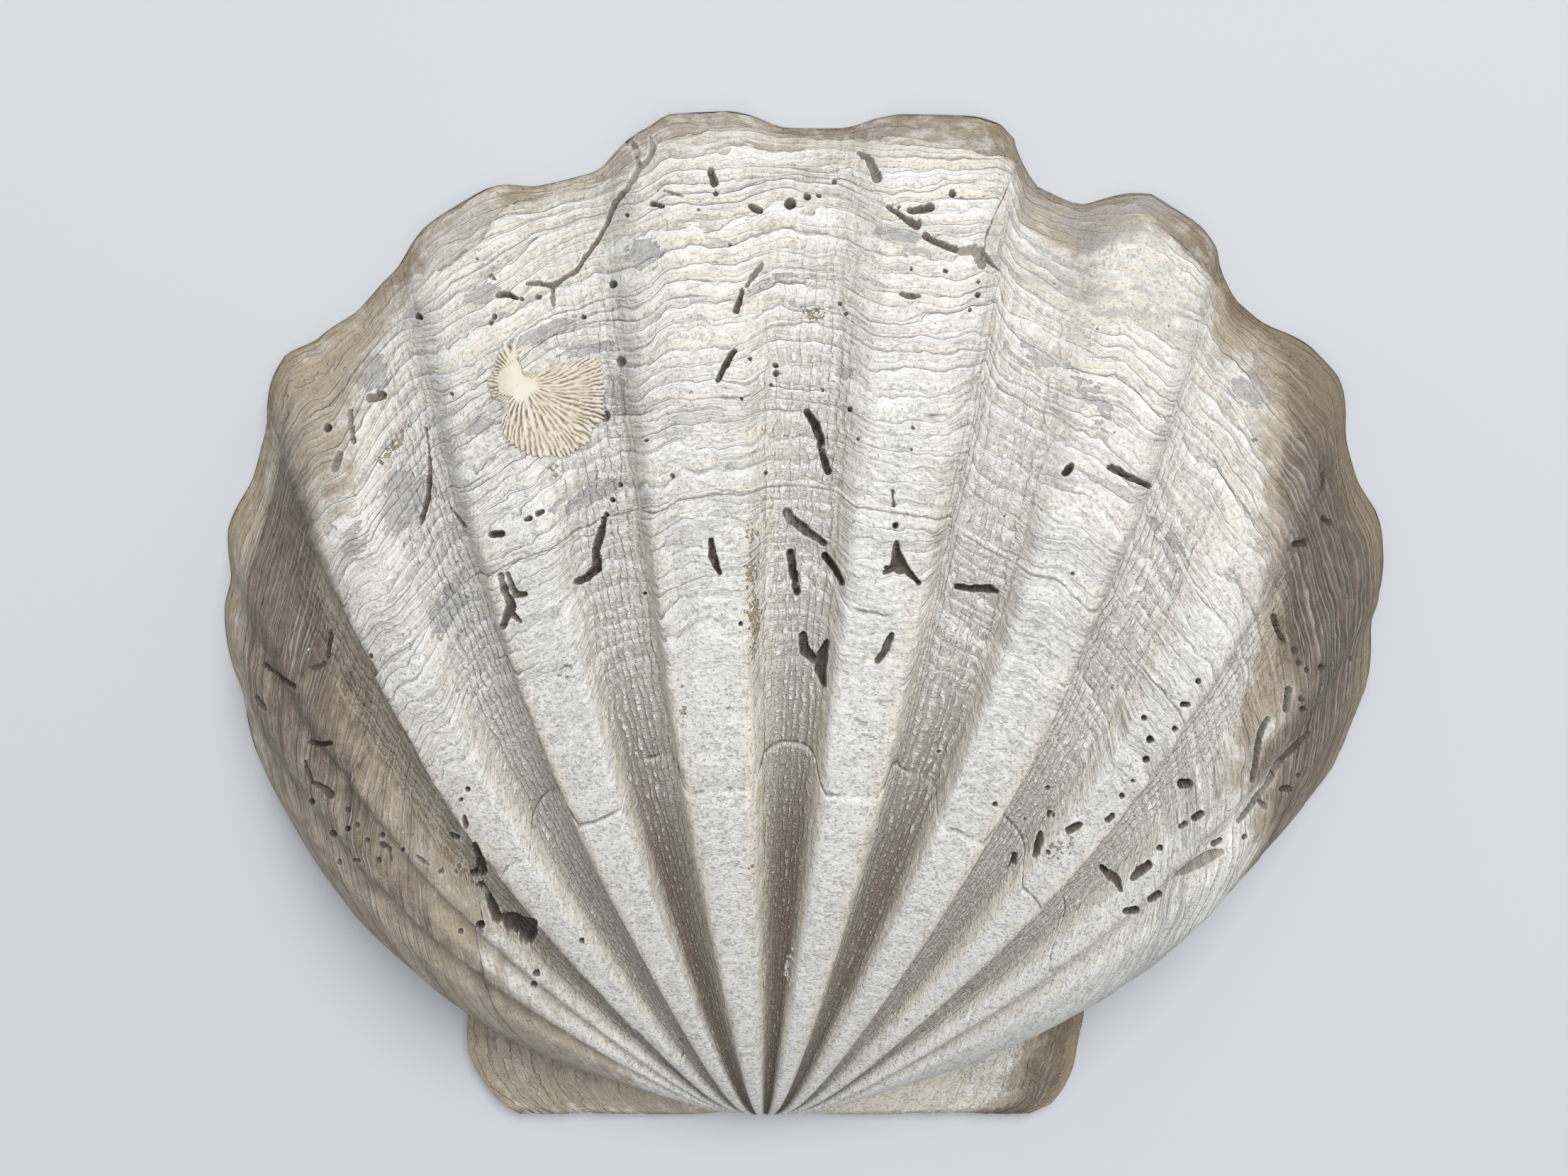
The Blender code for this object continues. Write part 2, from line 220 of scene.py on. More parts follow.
def read(table, value):
    """Reads each further column of a table between its rows, by its first column."""
    at, *columns = np.array(table).T
    found = [np.interp(value, at, column) for column in columns]
    return found if len(found) > 1 else found[0]


def unit(vectors, least=LEAST_LENGTH):
    return vectors / np.maximum(np.linalg.norm(vectors, axis=-1, keepdims=True), least)


def lattice(column, row, seed):
    """A repeatable value from 0 to 1 for each cell of a lattice."""
    mixed = (column * SCATTER[0] + row * SCATTER[1] + seed * SCATTER[2]) & KEPT_BITS
    mixed = ((mixed ^ (mixed >> 13)) * SCATTER[3]) & KEPT_BITS
    return ((mixed ^ (mixed >> 16)) & SHOWN_BITS) / SHOWN_BITS


def noise(x, y, seed):
    """Smooth noise from -1 to 1 with lumps about one unit wide."""
    column = np.floor(x).astype(np.int64)
    row = np.floor(y).astype(np.int64)
    across = smoothstep(0.0, 1.0, x - column)
    up = smoothstep(0.0, 1.0, y - row)
    low = lattice(column, row, seed) * (1.0 - across) + lattice(column + 1, row, seed) * across
    high = lattice(column, row + 1, seed) * (1.0 - across) + lattice(column + 1, row + 1, seed) * across
    return 2.0 * (low * (1.0 - up) + high * up) - 1.0


def rough(x, y, seed, octaves=3):
    """Noise in octaves, each half as large and twice as fine as the one before."""
    total = np.zeros_like(x)
    for octave in range(octaves):
        total = total + noise(x * 2.0 ** octave, y * 2.0 ** octave, seed + octave) * 0.5 ** octave
    return total


def uneven(kind, bearing, growth):
    per_degree, per_growth, seed, octaves, size = UNEVEN[kind]
    return rough(bearing * per_degree, growth * per_growth, seed, octaves) * size


def uneven_line(kind, bearing, number):
    per_degree, apart, seed = ALONG_LINES[kind]
    return noise(bearing * per_degree, np.full_like(bearing, number * apart), seed)


def uneven_edge(kind, pixels):
    wave, seed, octaves, size = UNEVEN_EDGES[kind]
    return rough(pixels[:, 0] / wave, pixels[:, 1] / wave, seed, octaves) * size


def ear_share(bearing):
    return smoothstep(EAR_START - EAR_WALL, EAR_START + EAR_WALL, np.abs(bearing))


def off_ears(bearing, less=1.0):
    """1 on the disc, and less by this share on the ears."""
    return 1.0 - less * ear_share(bearing)


def smooth_shell(bearing, growth):
    """Place on the shell without ribs or ledges, beak at the origin, in millimetres."""
    angle = np.radians(bearing)
    turned = np.radians(COIL * (1.0 - growth ** COIL_POWER) + BEAK_CURL * np.exp(-growth / BEAK_CURL_REACH))
    reach = read(OUTLINE, bearing)
    across = growth * reach * np.sin(angle)
    along = growth * reach * np.cos(angle)
    ear = ear_share(bearing)
    swell = 1.0 + FLANK_SWELL * smoothstep(FLANK_START, FLANK_FULL, np.abs(bearing))
    raised = along * np.sin(turned) * (swell * (1.0 - ear) + EAR_SLOPE * ear)
    ear_base = EAR_HEIGHT * ear * smoothstep(0.0, EAR_HEIGHT_FULL, growth)
    return np.stack([across, along * np.cos(turned), raised + ear_base], axis=-1)


def outward(bearing, growth):
    """Direction out of the smooth shell, from short steps along the bearing and the growth."""
    low = np.maximum(bearing - BEARING_STEP, -HINGE_BEARING)
    high = np.minimum(bearing + BEARING_STEP, HINGE_BEARING)
    level = np.maximum(growth, GROWTH_STEP)
    across = smooth_shell(high, level) - smooth_shell(low, level)
    along = smooth_shell(bearing, level + GROWTH_STEP) - smooth_shell(bearing, level - GROWTH_STEP)
    return unit(np.cross(across, along))


def rib_shape(bearing, growth):
    """1 on a rib, about 0 on the floor of a full channel, part way in a shallow one."""
    height = np.ones_like(bearing)
    wall = WALL_HALF_WIDTH + WALL_SPREAD * smoothstep(*WALL_SPREAD_OVER, growth)
    for middle, half_width, depth in CHANNELS:
        away = np.abs(bearing - middle)
        inside = 1.0 - smoothstep(half_width - wall, half_width + wall, away)
        rounding = 1.0 + FLOOR_ROUNDING * (0.5 - np.minimum(away / half_width, 1.0) ** 2)
        height = height - depth * inside * rounding
    return height


def relief(bearing, growth):
    """Height of the ribs above the middle of the relief, in millimetres."""
    full = np.minimum(RELIEF_RISE * growth, RELIEF_FULL)
    fade = smoothstep(RELIEF_FADE_FROM, 1.0, growth)
    full = full + (RELIEF_AT_MARGIN - RELIEF_FULL) * fade
    return full * (rib_shape(bearing, growth) - RELIEF_MIDDLE) * off_ears(bearing)


def growth_at(bearing, line):
    """Growth of a growth line at a bearing: lines between two breaks share the way between them."""
    in_channel = 1.0 - rib_shape(bearing, line)
    knots = [0.0] + [at for at, _, _, _ in BREAKS] + [1.0]
    shifts = [np.zeros_like(line)]
    for at, growths, bow, _ in BREAKS:
        shifts.append(np.interp(bearing, BREAK_BEARINGS, growths) - at + bow * in_channel)
    shifts.append(np.zeros_like(line))
    shift = np.zeros_like(line)
    for low, high, before, after in zip(knots[:-1], knots[1:], shifts[:-1], shifts[1:]):
        share = np.clip((line - low) / (high - low), 0.0, 1.0)
        between = before * (1.0 - share) + after * share
        shift = np.where((line > low - BREAK_SOFT) & (line <= high + BREAK_SOFT), between, shift)
    ragged = uneven("slow_line", bearing, line) + uneven("quick_line", bearing, line)
    ragged = ragged * smoothstep(*RAGGED_FROM, line) * (1.0 - smoothstep(*RAGGED_UNTIL, line))
    return line + (shift + ragged) * off_ears(bearing, LESS_ON_EARS["bow"])


def break_drop(bearing, line):
    """Drop past each main break, with the strength of the break coming and going along it."""
    drop = np.zeros_like(line)
    for number, (at, _, _, depth) in enumerate(BREAKS):
        past = line - at
        strength = 1.0 + BREAK_UNEVEN * uneven_line("break", bearing, number)
        drop = drop + np.where(past > BREAK_LIP / 2.0, depth * strength * np.exp(-past / BREAK_RECOVERY), 0.0)
    return drop * off_ears(bearing, LESS_ON_EARS["break"])


def past_ledge(bearing, line):
    """How far past the broken edge of the outer layer a growth line lies, negative before it."""
    return line - read(RIM_LEDGE, bearing) + uneven("rim_ledge", bearing, line)


def fine_drop(bearing, line):
    """Many small ledges, each on only some bearings, crowded towards the margin."""
    draw = np.random.default_rng(FINE_SEED)
    drop = np.zeros_like(line)
    waved = line + uneven("fine_ledges", bearing, line)
    for number in range(FINE_LEDGES):
        share = (number + draw.random()) / FINE_LEDGES
        at = FINE_FROM + (1.0 - FINE_FROM) * share ** FINE_CROWDING
        depth = FINE_DROP[0] + (FINE_DROP[1] - FINE_DROP[0]) * draw.random() ** 2
        there = smoothstep(*FINE_THERE, uneven_line("fine_ledge", bearing, number))
        past = waved - at
        drop = drop + np.where(past > 0.0, depth * there * np.exp(-past / FINE_RECOVERY), 0.0)
    return drop * off_ears(bearing, LESS_ON_EARS["fine_ledge"])


# Borings and cracks, in the photograph's pixels. Tone runs from 0, a pale shallow floor, to 1, a black deep
# one, the darkness partly painted shade;
# depth is in millimetres; then place and radius along the middle
ROUND_BORINGS = [
    (693, 390, 3), (736, 421, 3), (759, 419, 4), (865, 401, 5), (824, 447, 3), (673, 365, 2.5),
    (697, 446, 3), (692, 455, 2.5), (590, 446, 4.5), (594, 449, 3), (1010, 272, 4), (1115, 287, 8),
    (1139, 277, 5.5), (1155, 275, 4), (1177, 256, 4), (1344, 272, 5), (1268, 291, 3), (1260, 288, 2),
    (1334, 381, 3.5), (1380, 397, 2.5), (1379, 415, 3.5), (1368, 436, 3), (1095, 526, 4),
    (1263, 741, 4), (1513, 809, 3), (875, 684, 3.5), (864, 705, 3), (856, 725, 3), (462, 603, 6),
    (440, 1130, 4), (490, 1142, 3), (504, 1163, 3.5), (470, 1176, 4), (490, 1169, 3), (539, 1178, 4),
    (540, 1192, 4), (534, 1214, 3.5), (505, 1214, 3), (479, 1216, 3), (523, 926, 3), (660, 1114, 3),
    (650, 1128, 2.5), (622, 1230, 3.5), (647, 1222, 3), (643, 1230, 3), (650, 1314, 3), (757, 1373, 4),
    (754, 1388, 4), (821, 1327, 3), (678, 1305, 5.5), (1614, 1013, 4.5), (1623, 1044, 5),
    (1617, 1072, 4), (1658, 1028, 3.5), (1691, 961, 4), (1598, 1102, 3), (1583, 1123, 3.5),
    (1478, 1112, 3.5), (1483, 1150, 4.5), (1479, 1203, 3), (1637, 1196, 4.5), (1812, 903, 3.5),
    (1827, 917, 4), (1833, 936, 4.5), (1844, 945, 3.5), (1865, 942, 5), (1906, 929, 3), (1837, 985, 4),
    (1838, 1001, 4), (1832, 1094, 3), (1756, 1181, 3.5), (1716, 1189, 4), (1404, 1135, 2.5),
    (1445, 1155, 2), (1260, 1430, 2.5), (964, 1490, 2.5), (1569, 971, 2.5), (1324, 1060, 2.5),
    (910, 837, 2), (1094, 515, 3), (1058, 506, 2), (1087, 542, 2), (1046, 562, 2), (948, 671, 3),
    (1080, 667, 2), (1210, 619, 2), (1286, 634, 2), (1289, 603, 2), (500, 1213, 3), (518, 1185, 3),
    (568, 1198, 2.5), (1199, 577, 2.5), (1250, 800, 2), (637, 555, 2.5), (1548, 463, 2), (1636, 466, 2),
    (1650, 458, 2), (928, 268, 2), (884, 303, 2), (985, 295, 2), (1030, 345, 2), (1434, 390, 2),
    (1491, 395, 2), (1285, 379, 2), (1185, 427, 2.5), (1193, 442, 2), (1160, 550, 2), (912, 621, 2),
    (1045, 880, 2.5),
]
ROUND_TONE = 0.95
# Depth of a round boring: at no radius, more for each pixel of radius, and at most
ROUND_DEPTH = (0.35, 0.16, 1.2)

LONG_BORINGS = [
    (0.25, 0.7, [(918, 194, 1.5), (922, 206, 3), (915, 224, 3), (903, 236, 4), (894, 250, 4),
                 (884, 268, 3.5)]),
    (0.3, 0.6, [(893, 200, 5), (898, 218, 3.5), (902, 234, 3)]),
    (0.62, 0.9, [(884, 268, 3), (869, 283, 3.2), (855, 318, 2.5), (842, 340, 2.6), (812, 382, 2.8)]),
    (0.45, 0.35, [(1433, 243, 0.2), (1414, 281, 0.5), (1400, 310, 0.6), (1391, 333, 0.8),
                  (1390, 352, 1)]),
    (0.75, 0.7, [(536, 1190, 1.5), (549, 1196, 1.8), (552, 1214, 1.5)]),
    (0.55, 0.7, [(812, 382, 2.5), (801, 388, 3), (782, 402, 3), (760, 399, 2.2), (742, 401, 1.6)]),
    (0.45, 0.6, [(780, 402, 2.2), (780, 429, 1.8)]),
    (0.85, 1.0, [(703, 417, 3), (713, 413, 5), (729, 420, 2)]),
    (0.55, 0.5, [(877, 509, 6.5)]),
    (0.55, 0.5, [(854, 586, 7)]),
    (0.75, 0.9, [(1003, 240, 4), (1008, 257, 5.5)]),
    (0.85, 0.9, [(920, 287, 4), (934, 290, 3.5)]),
    (0.9, 1.0, [(1059, 290, 4), (1071, 296, 5)]),
    (0.4, 0.5, [(936, 268, 1.5), (963, 276, 1.5)]),
    (0.35, 0.5, [(1212, 216, 3), (1224, 222, 5), (1233, 238, 6), (1237, 250, 7.5)]),
    (0.7, 0.9, [(1253, 291, 2.5), (1272, 304, 4), (1293, 318, 5), (1297, 311, 3)]),
    (0.8, 0.9, [(1283, 297, 4), (1298, 295, 5.5), (1312, 292, 6)]),
    (0.6, 1.0, [(1305, 332, 4.5), (1325, 343, 4), (1350, 352, 4)]),
    (0.12, 0.8, [(1356, 354, 5.5), (1378, 352, 8), (1385, 372, 6)]),
    (0.6, 0.9, [(1386, 350, 2), (1396, 368, 3), (1414, 382, 2)]),
    (0.7, 0.7, [(1272, 415, 3), (1284, 418, 4.5), (1297, 418, 2.5)]),
    (0.3, 0.5, [(1075, 372, 2.5), (1064, 388, 3.5), (1054, 402, 2.5)]),
    (0.8, 0.9, [(1047, 410, 2.5), (1043, 425, 4), (1038, 438, 3.5)]),
    (0.92, 1.1, [(1036, 494, 3), (1024, 513, 4.5), (1012, 536, 3)]),
    (0.88, 1.2, [(1138, 580, 4), (1150, 596, 5.5), (1158, 620, 4.5), (1160, 640, 5), (1168, 664, 5.5)]),
    (0.95, 1.1, [(1503, 667, 5.5), (1511, 658, 5.5)]),
    (0.8, 0.9, [(1567, 658, 5), (1590, 671, 4.5), (1622, 686, 3.5)]),
    (0.85, 0.6, [(1259, 692, 1.5), (1261, 713, 2)]),
    (0.85, 1.1, [(1265, 766, 3), (1265, 782, 6), (1268, 795, 11)]),
    (0.7, 1.0, [(1270, 801, 9)]),
    (0.8, 0.9, [(1258, 802, 4.5), (1248, 808, 2.5)]),
    (0.85, 0.9, [(1278, 802, 5.5), (1287, 813, 4), (1296, 822, 3.5)]),
    (0.28, 0.7, [(1110, 722, 6), (1116, 732, 7)]),
    (0.55, 1.1, [(1120, 734, 6.5), (1140, 750, 6), (1163, 766, 4)]),
    (0.93, 1.1, [(1115, 780, 5), (1118, 800, 5.5), (1122, 822, 4.5), (1124, 836, 4.5)]),
    (0.93, 1.0, [(1164, 784, 4.5), (1177, 800, 5), (1188, 821, 4)]),
    (0.85, 1.1, [(1132, 897, 5.5), (1136, 918, 7.5), (1149, 930, 5)]),
    (0.75, 1.1, [(1167, 906, 3), (1160, 925, 7.5), (1158, 945, 7.5), (1163, 968, 2.5)]),
    (0.7, 0.9, [(1258, 896, 3), (1250, 915, 5), (1238, 933, 4)]),
    (0.85, 0.9, [(1351, 828, 4), (1372, 830, 4), (1398, 830, 5), (1406, 834, 3)]),
    (0.88, 0.9, [(693, 753, 4.5), (708, 753, 3.5)]),
    (0.9, 0.8, [(741, 733, 3), (747, 731, 3)]),
    (0.9, 0.8, [(758, 725, 3.5), (765, 721, 3)]),
    (0.8, 1.1, [(852, 732, 3), (846, 757, 5), (840, 780, 5), (842, 802, 6.5), (829, 814, 5),
                (813, 821, 3.5)]),
    (0.7, 1.1, [(706, 812, 3.5), (712, 835, 5), (722, 855, 6), (715, 868, 5), (709, 884, 3.5)]),
    (0.6, 0.9, [(716, 810, 3), (722, 826, 3), (727, 840, 4.5), (740, 838, 4)]),
    (0.65, 0.8, [(724, 868, 3.5), (733, 876, 2.5)]),
    (0.9, 1.0, [(1003, 761, 3.5), (1005, 785, 5.5), (1015, 808, 3)]),
    (0.55, 0.4, [(601, 604, 1.5), (606, 640, 1.5), (606, 668, 2)]),
    (0.9, 1.0, [(606, 672, 3), (604, 700, 3.5), (593, 738, 2.5)]),
    (0.45, 0.6, [(494, 580, 2.5), (495, 600, 3.5), (499, 624, 3)]),
    (0.5, 0.6, [(522, 562, 6), (538, 558, 6.5)]),
    (0.4, 0.5, [(480, 640, 4), (472, 660, 5)]),
    (0.4, 0.4, [(636, 716, 1.5), (656, 743, 1.8)]),
    (0.6, 0.7, [(466, 890, 2.5), (465, 908, 3), (462, 925, 2.5)]),
    (0.6, 0.7, [(438, 943, 2.5), (448, 942, 2.5), (457, 936, 2)]),
    (0.6, 0.7, [(372, 938, 2.5), (392, 952, 2.5), (415, 969, 2.5)]),
    (0.85, 0.8, [(438, 1046, 2.5), (450, 1050, 3.5), (466, 1048, 3)]),
    (0.7, 0.7, [(430, 1076, 2.5), (440, 1104, 3), (458, 1112, 4), (465, 1120, 6.5)]),
    (0.45, 0.5, [(361, 984, 3), (374, 1000, 2.5)]),
    (0.8, 0.7, [(655, 1152, 2.5), (657, 1166, 2.5)]),
    (0.85, 0.7, [(637, 1177, 3), (645, 1181, 3)]),
    (0.55, 0.5, [(588, 1208, 1.5), (604, 1220, 1.8)]),
    (0.92, 1.1, [(670, 1192, 3), (676, 1208, 4.5), (680, 1228, 7)]),
    (0.92, 1.0, [(680, 1228, 6), (664, 1233, 3)]),
    (0.95, 1.2, [(677, 1250, 5), (688, 1264, 5), (697, 1284, 6), (703, 1298, 7)]),
    (0.85, 1.6, [(708, 1298, 9), (722, 1302, 13), (737, 1308, 14)]),
    (0.8, 1.6, [(737, 1308, 14), (747, 1316, 10), (742, 1327, 9), (752, 1303, 6)]),
    (0.9, 0.9, [(1669, 994, 4), (1677, 994, 4)]),
    (0.85, 0.9, [(1563, 1157, 4), (1570, 1151, 4)]),
    (0.75, 1.1, [(1668, 1106, 7), (1678, 1106, 6.5)]),
    (0.88, 1.0, [(1508, 1172, 5), (1522, 1164, 5)]),
    (0.92, 1.0, [(1469, 1178, 4), (1465, 1192, 5.5), (1461, 1206, 4.5)]),
    (0.88, 1.0, [(1432, 1207, 3.5), (1429, 1220, 4.5), (1424, 1229, 3)]),
    (0.88, 1.0, [(1695, 1148, 4), (1685, 1154, 5)]),
    (0.85, 0.9, [(1666, 1166, 3.5), (1671, 1163, 3.5)]),
    (0.88, 0.9, [(1713, 1190, 3.5), (1721, 1186, 3.5)]),
    (0.85, 1.0, [(1598, 1238, 3.5), (1608, 1230, 6), (1620, 1221, 5.5)]),
    (0.8, 1.0, [(1554, 1224, 3), (1563, 1233, 5), (1576, 1242, 6), (1580, 1254, 4)]),
    (0.9, 0.9, [(1588, 1286, 4), (1602, 1284, 5)]),
    (0.9, 0.9, [(1625, 1268, 5), (1633, 1262, 5)]),
    (0.05, 0.5, [(1662, 1233, 4), (1685, 1220, 7), (1706, 1208, 8), (1722, 1202, 4)]),
    (0.7, 0.8, [(1789, 1014, 3.5), (1780, 1030, 4), (1774, 1055, 4), (1771, 1080, 3.5),
                (1767, 1102, 3)]),
    (0.45, 0.7, [(1846, 1035, 3), (1822, 1058, 3.5), (1801, 1079, 4), (1788, 1105, 3.5),
                 (1768, 1132, 4), (1748, 1158, 3)]),
    (0.8, 0.9, [(1818, 973, 4.5), (1815, 1000, 4.5)]),
    (0.8, 0.9, [(1797, 870, 3.5), (1802, 888, 3), (1812, 905, 3.5)]),
    (0.85, 0.8, [(1808, 1114, 3.5), (1818, 1113, 3.5)]),
    (0.55, 0.7, [(1778, 1132, 3), (1784, 1138, 3.5)]),
    (0.6, 0.5, [(1866, 668, 1.5), (1866, 693, 1.8)]),
    (0.85, 0.8, [(1826, 768, 3), (1840, 765, 5)]),
    (0.9, 0.8, [(1868, 732, 4), (1875, 738, 3.5)]),
]
BORING_WIDER = 0.9
BORING_WALL = 0.22
FAR_FROM_BORING = 60.0
NEAR_BORING = 30.0
LEAST_STEP = 1e-6

# The broken-off layer at the upper right: its edge from the margin down, in pixels, and its depth
CHIP_EDGE = [
    (1424, 160), (1435, 228), (1429, 246), (1412, 285), (1399, 310), (1390, 335), (1391, 352), (1412, 384),
]
CHIP_DEPTH = 0.75
CHIP_REACH = 310.0
CHIP_FADE = 0.7
CHIP_STEP = 2.0
CHIP_FOOT = (345.0, 410.0)
CHIP_FOOT_SLOPE = 0.42
FLAKE_WIDTH = 27.0
FLAKE_SHARE = 0.45
FLAKE_STEP = 5.0


def camera_axes():
    tilt = math.radians(CAMERA_TILT)
    ahead = np.array([0.0, -math.sin(tilt), -math.cos(tilt)])
    above = np.array([0.0, math.cos(tilt), -math.sin(tilt)])
    return np.array([1.0, 0.0, 0.0]), above, ahead


def in_photo(places):
    """Pixels at which places, in metres, show in the photograph."""
    right, above, ahead = camera_axes()
    away = places - np.array(CAMERA_PLACE)
    scale = LENS / SENSOR * PHOTO_WIDTH / (away @ ahead)
    across = PHOTO_WIDTH / 2.0 + (away @ right) * scale
    down = PHOTO_HEIGHT / 2.0 - (away @ above) * scale
    return np.stack([across, down], axis=-1)


def to_chain(pixels, chain):
    """Distance in pixels from a boring's edge, negative inside it."""
    nearest = np.full(len(pixels), np.inf)
    for number, (x, y, radius) in enumerate(chain):
        ahead = chain[min(number + 1, len(chain) - 1)]
        step = np.array([ahead[0] - x, ahead[1] - y], dtype=float)
        offset = pixels - np.array([x, y])
        share = np.clip(offset @ step / max(step @ step, LEAST_STEP), 0.0, 1.0)
        gap = np.hypot(*(offset - share[:, None] * step).T) - (radius + (ahead[2] - radius) * share)
        nearest = np.minimum(nearest, gap)
    return nearest


def borings():
    """Every boring as tone, depth and chain."""
    least, by_radius, most = ROUND_DEPTH
    for x, y, radius in ROUND_BORINGS:
        yield ROUND_TONE, min(least + by_radius * radius, most), [(x, y, radius)]
    yield from LONG_BORINGS


def boring_field(pixels):
    """Distance from the nearest boring's edge, its tone and its depth."""
    nearest = np.full(len(pixels), FAR_FROM_BORING)
    tone = np.zeros(len(pixels))
    depth = np.zeros(len(pixels))
    for its_tone, its_depth, chain in borings():
        chain = [(x, y, radius + BORING_WIDER) for x, y, radius in chain]
        spots = np.array(chain)
        margin = spots[:, 2].max() + NEAR_BORING
        low = spots[:, :2].min(axis=0) - margin
        high = spots[:, :2].max(axis=0) + margin
        close = np.nonzero(np.all((pixels > low) & (pixels < high), axis=1))[0]
        gap = to_chain(pixels[close], chain)
        closer = gap < nearest[close]
        chosen = close[closer]
        nearest[chosen] = gap[closer]
        tone[chosen] = its_tone
        depth[chosen] = its_depth
    return nearest + uneven_edge("boring", pixels) * (nearest < NEAR_BORING), tone, depth


def past_chip(pixels):
    """Distance in pixels to the right of the chip's edge, negative on the layer that is still there."""
    across, down = np.array(CHIP_EDGE, dtype=float).T
    return pixels[:, 0] - np.interp(pixels[:, 1], down, across) + uneven_edge("chip", pixels)


def chip_field(pixels):
    """How far the surface under the broken-off layer lies below the rest, as a share, past a thin flake."""
    past = past_chip(pixels)
    flake = FLAKE_WIDTH + uneven_edge("flake", pixels)
    first = (1.0 - FLAKE_SHARE) * smoothstep(0.0, CHIP_STEP, past)
    step = first + FLAKE_SHARE * smoothstep(flake, flake + FLAKE_STEP, past)
    inside = step * (1.0 - smoothstep(0.0, CHIP_REACH, past)) ** CHIP_FADE
    foot = pixels[:, 1] - CHIP_FOOT_SLOPE * np.clip(past, 0.0, CHIP_REACH)
    return inside * (1.0 - smoothstep(*CHIP_FOOT, foot))


def plain_outer(bearing, line):
    """Outside of the valve before its borings: places, directions out of it and heights, in millimetres."""
    growth = growth_at(bearing, line)
    swells = uneven("swells", bearing, growth) * smoothstep(*SWELLS_FROM, growth)
    height = relief(bearing, growth) - break_drop(bearing, line) - fine_drop(bearing, line) + swells
    height = height - RIM_LEDGE_DROP * smoothstep(0.0, RIM_LEDGE_STEP, past_ledge(bearing, line))
    height = height * smoothstep(0.0, RELIEF_START, line)
    return smooth_shell(bearing, growth), outward(bearing, growth), height


def inner_depth(bearing, growth):
    """How far the hollow side lies under the smooth shell, in millimetres, and its corrugation."""
    ear = ear_share(bearing)
    thinned = smoothstep(MARGIN_THINNING_FROM, 1.0, growth)
    thickness = WALL_THICKNESS + (MARGIN_THICKNESS - WALL_THICKNESS) * thinned
    thickness = thickness * (1.0 - ear) + EAR_THICKNESS * ear
    thickness = thickness * (1.0 - np.exp(-growth / UMBO_THINNING))
    return thickness, relief(bearing, growth) * smoothstep(INNER_RELIEF_FROM, 1.0, growth)


# The muscle scar and the pallial line inside, by bearing and growth: middle and half size, and step
SCAR_MIDDLE = (9.0, 0.47)
SCAR_HALF = (13.0, 0.135)
SCAR_EDGE = (0.9, 1.0)
SCAR_STEP = 0.16
PALLIAL_LINE = (0.784, 0.796)
PALLIAL_FROM = (0.3, 0.6)
PALLIAL_STEP = 0.12

# The broken edge of the margin: how far it is worn back at its middle, and its layers' waves and seed
RIM_INSET = 0.42
RIM_LEAST_LAYER = 0.35
RIM_LAYERS = (0.55, 6.0, 91)


def inner_marks(bearing, growth):
    """Height of the muscle scar and the pallial line on the hollow side, in millimetres."""
    from_scar = np.hypot((bearing - SCAR_MIDDLE[0]) / SCAR_HALF[0], (growth - SCAR_MIDDLE[1]) / SCAR_HALF[1])
    scar = -SCAR_STEP * (1.0 - smoothstep(*SCAR_EDGE, from_scar))
    pallial = PALLIAL_STEP * (1.0 - smoothstep(*PALLIAL_LINE, growth))
    return (scar + pallial * smoothstep(*PALLIAL_FROM, growth)) * off_ears(bearing)


def level_of(vectors):
    """Each vector laid level and brought to a length of 1, or less where it is nearly upright."""
    return unit(vectors * np.array([1.0, 1.0, 0.0]), LEAST_LEVEL)


def inner_face(bearing, line):
    """The hollow side, corrugated only near the margin."""
    growth = growth_at(bearing, line)
    normal = outward(bearing, growth)
    thickness, corrugation = inner_depth(bearing, growth)
    square = smoothstep(SQUARE_RIM_FROM, 1.0, growth)[..., None] * off_ears(bearing)[..., None]
    inward = normal * (1.0 - square) + level_of(normal) * square
    raised = corrugation - inner_marks(bearing, growth)
    return smooth_shell(bearing, growth) - inward * thickness[..., None] + normal * raised[..., None]


def rim_face(bearing, share):
    """The broken edge of the margin, from the outside at 0 to the hollow side at 1, in thin layers."""
    top, normal, height = plain_outer(bearing, np.ones_like(bearing))
    top = top + normal * height[..., None]
    chipped = chip_field(in_photo(in_frame(top))) * off_ears(bearing)
    top = top - normal * (CHIP_DEPTH * chipped)[..., None]
    foot = inner_face(bearing, np.ones_like(bearing))
    per_degree, per_share, seed = RIM_LAYERS
    layers = RIM_LEAST_LAYER + (0.5 + 0.5 * noise(bearing * per_degree, share * per_share, seed))
    inset = RIM_INSET * np.sin(np.pi * share) * layers * off_ears(bearing, LESS_ON_EARS["rim"])
    return top * (1.0 - share[..., None]) + foot * share[..., None] - level_of(top) * inset[..., None]


def in_frame(points, edge=0.0):
    """Puts the beak where the frame has it, and turns up what would reach below the resting plane."""
    moved = points + np.array([BEAK[0], BEAK[1], REST_LIFT])
    moved[..., 2] = (moved[..., 2] + np.hypot(moved[..., 2], edge)) / 2.0
    return moved * MILLIMETRE


def column_bearings():
    """Bearings of the net's columns, closer together on the walls of the channels."""
    fine = np.arange(-HINGE_BEARING, HINGE_BEARING + COLUMN_PROBE / 2.0, COLUMN_PROBE)
    density = np.where(np.abs(fine) > EAR_START + EAR_WALL, COLUMNS_ON_EAR, COLUMNS_ON_FLAT)
    for middle, half_width, _ in CHANNELS:
        on_wall = np.abs(np.abs(fine - middle) - half_width) < WALL_HALF_WIDTH
        density = np.where(on_wall, COLUMNS_ON_WALL, density)
    passed = np.concatenate([[0.0], np.cumsum((density[1:] + density[:-1]) / 2.0 * COLUMN_PROBE)])
    coarsest = BANDS[0][3]
    count = int(round(passed[-1] / coarsest)) * coarsest
    return np.interp(np.linspace(0.0, passed[-1], count + 1), passed, fine)


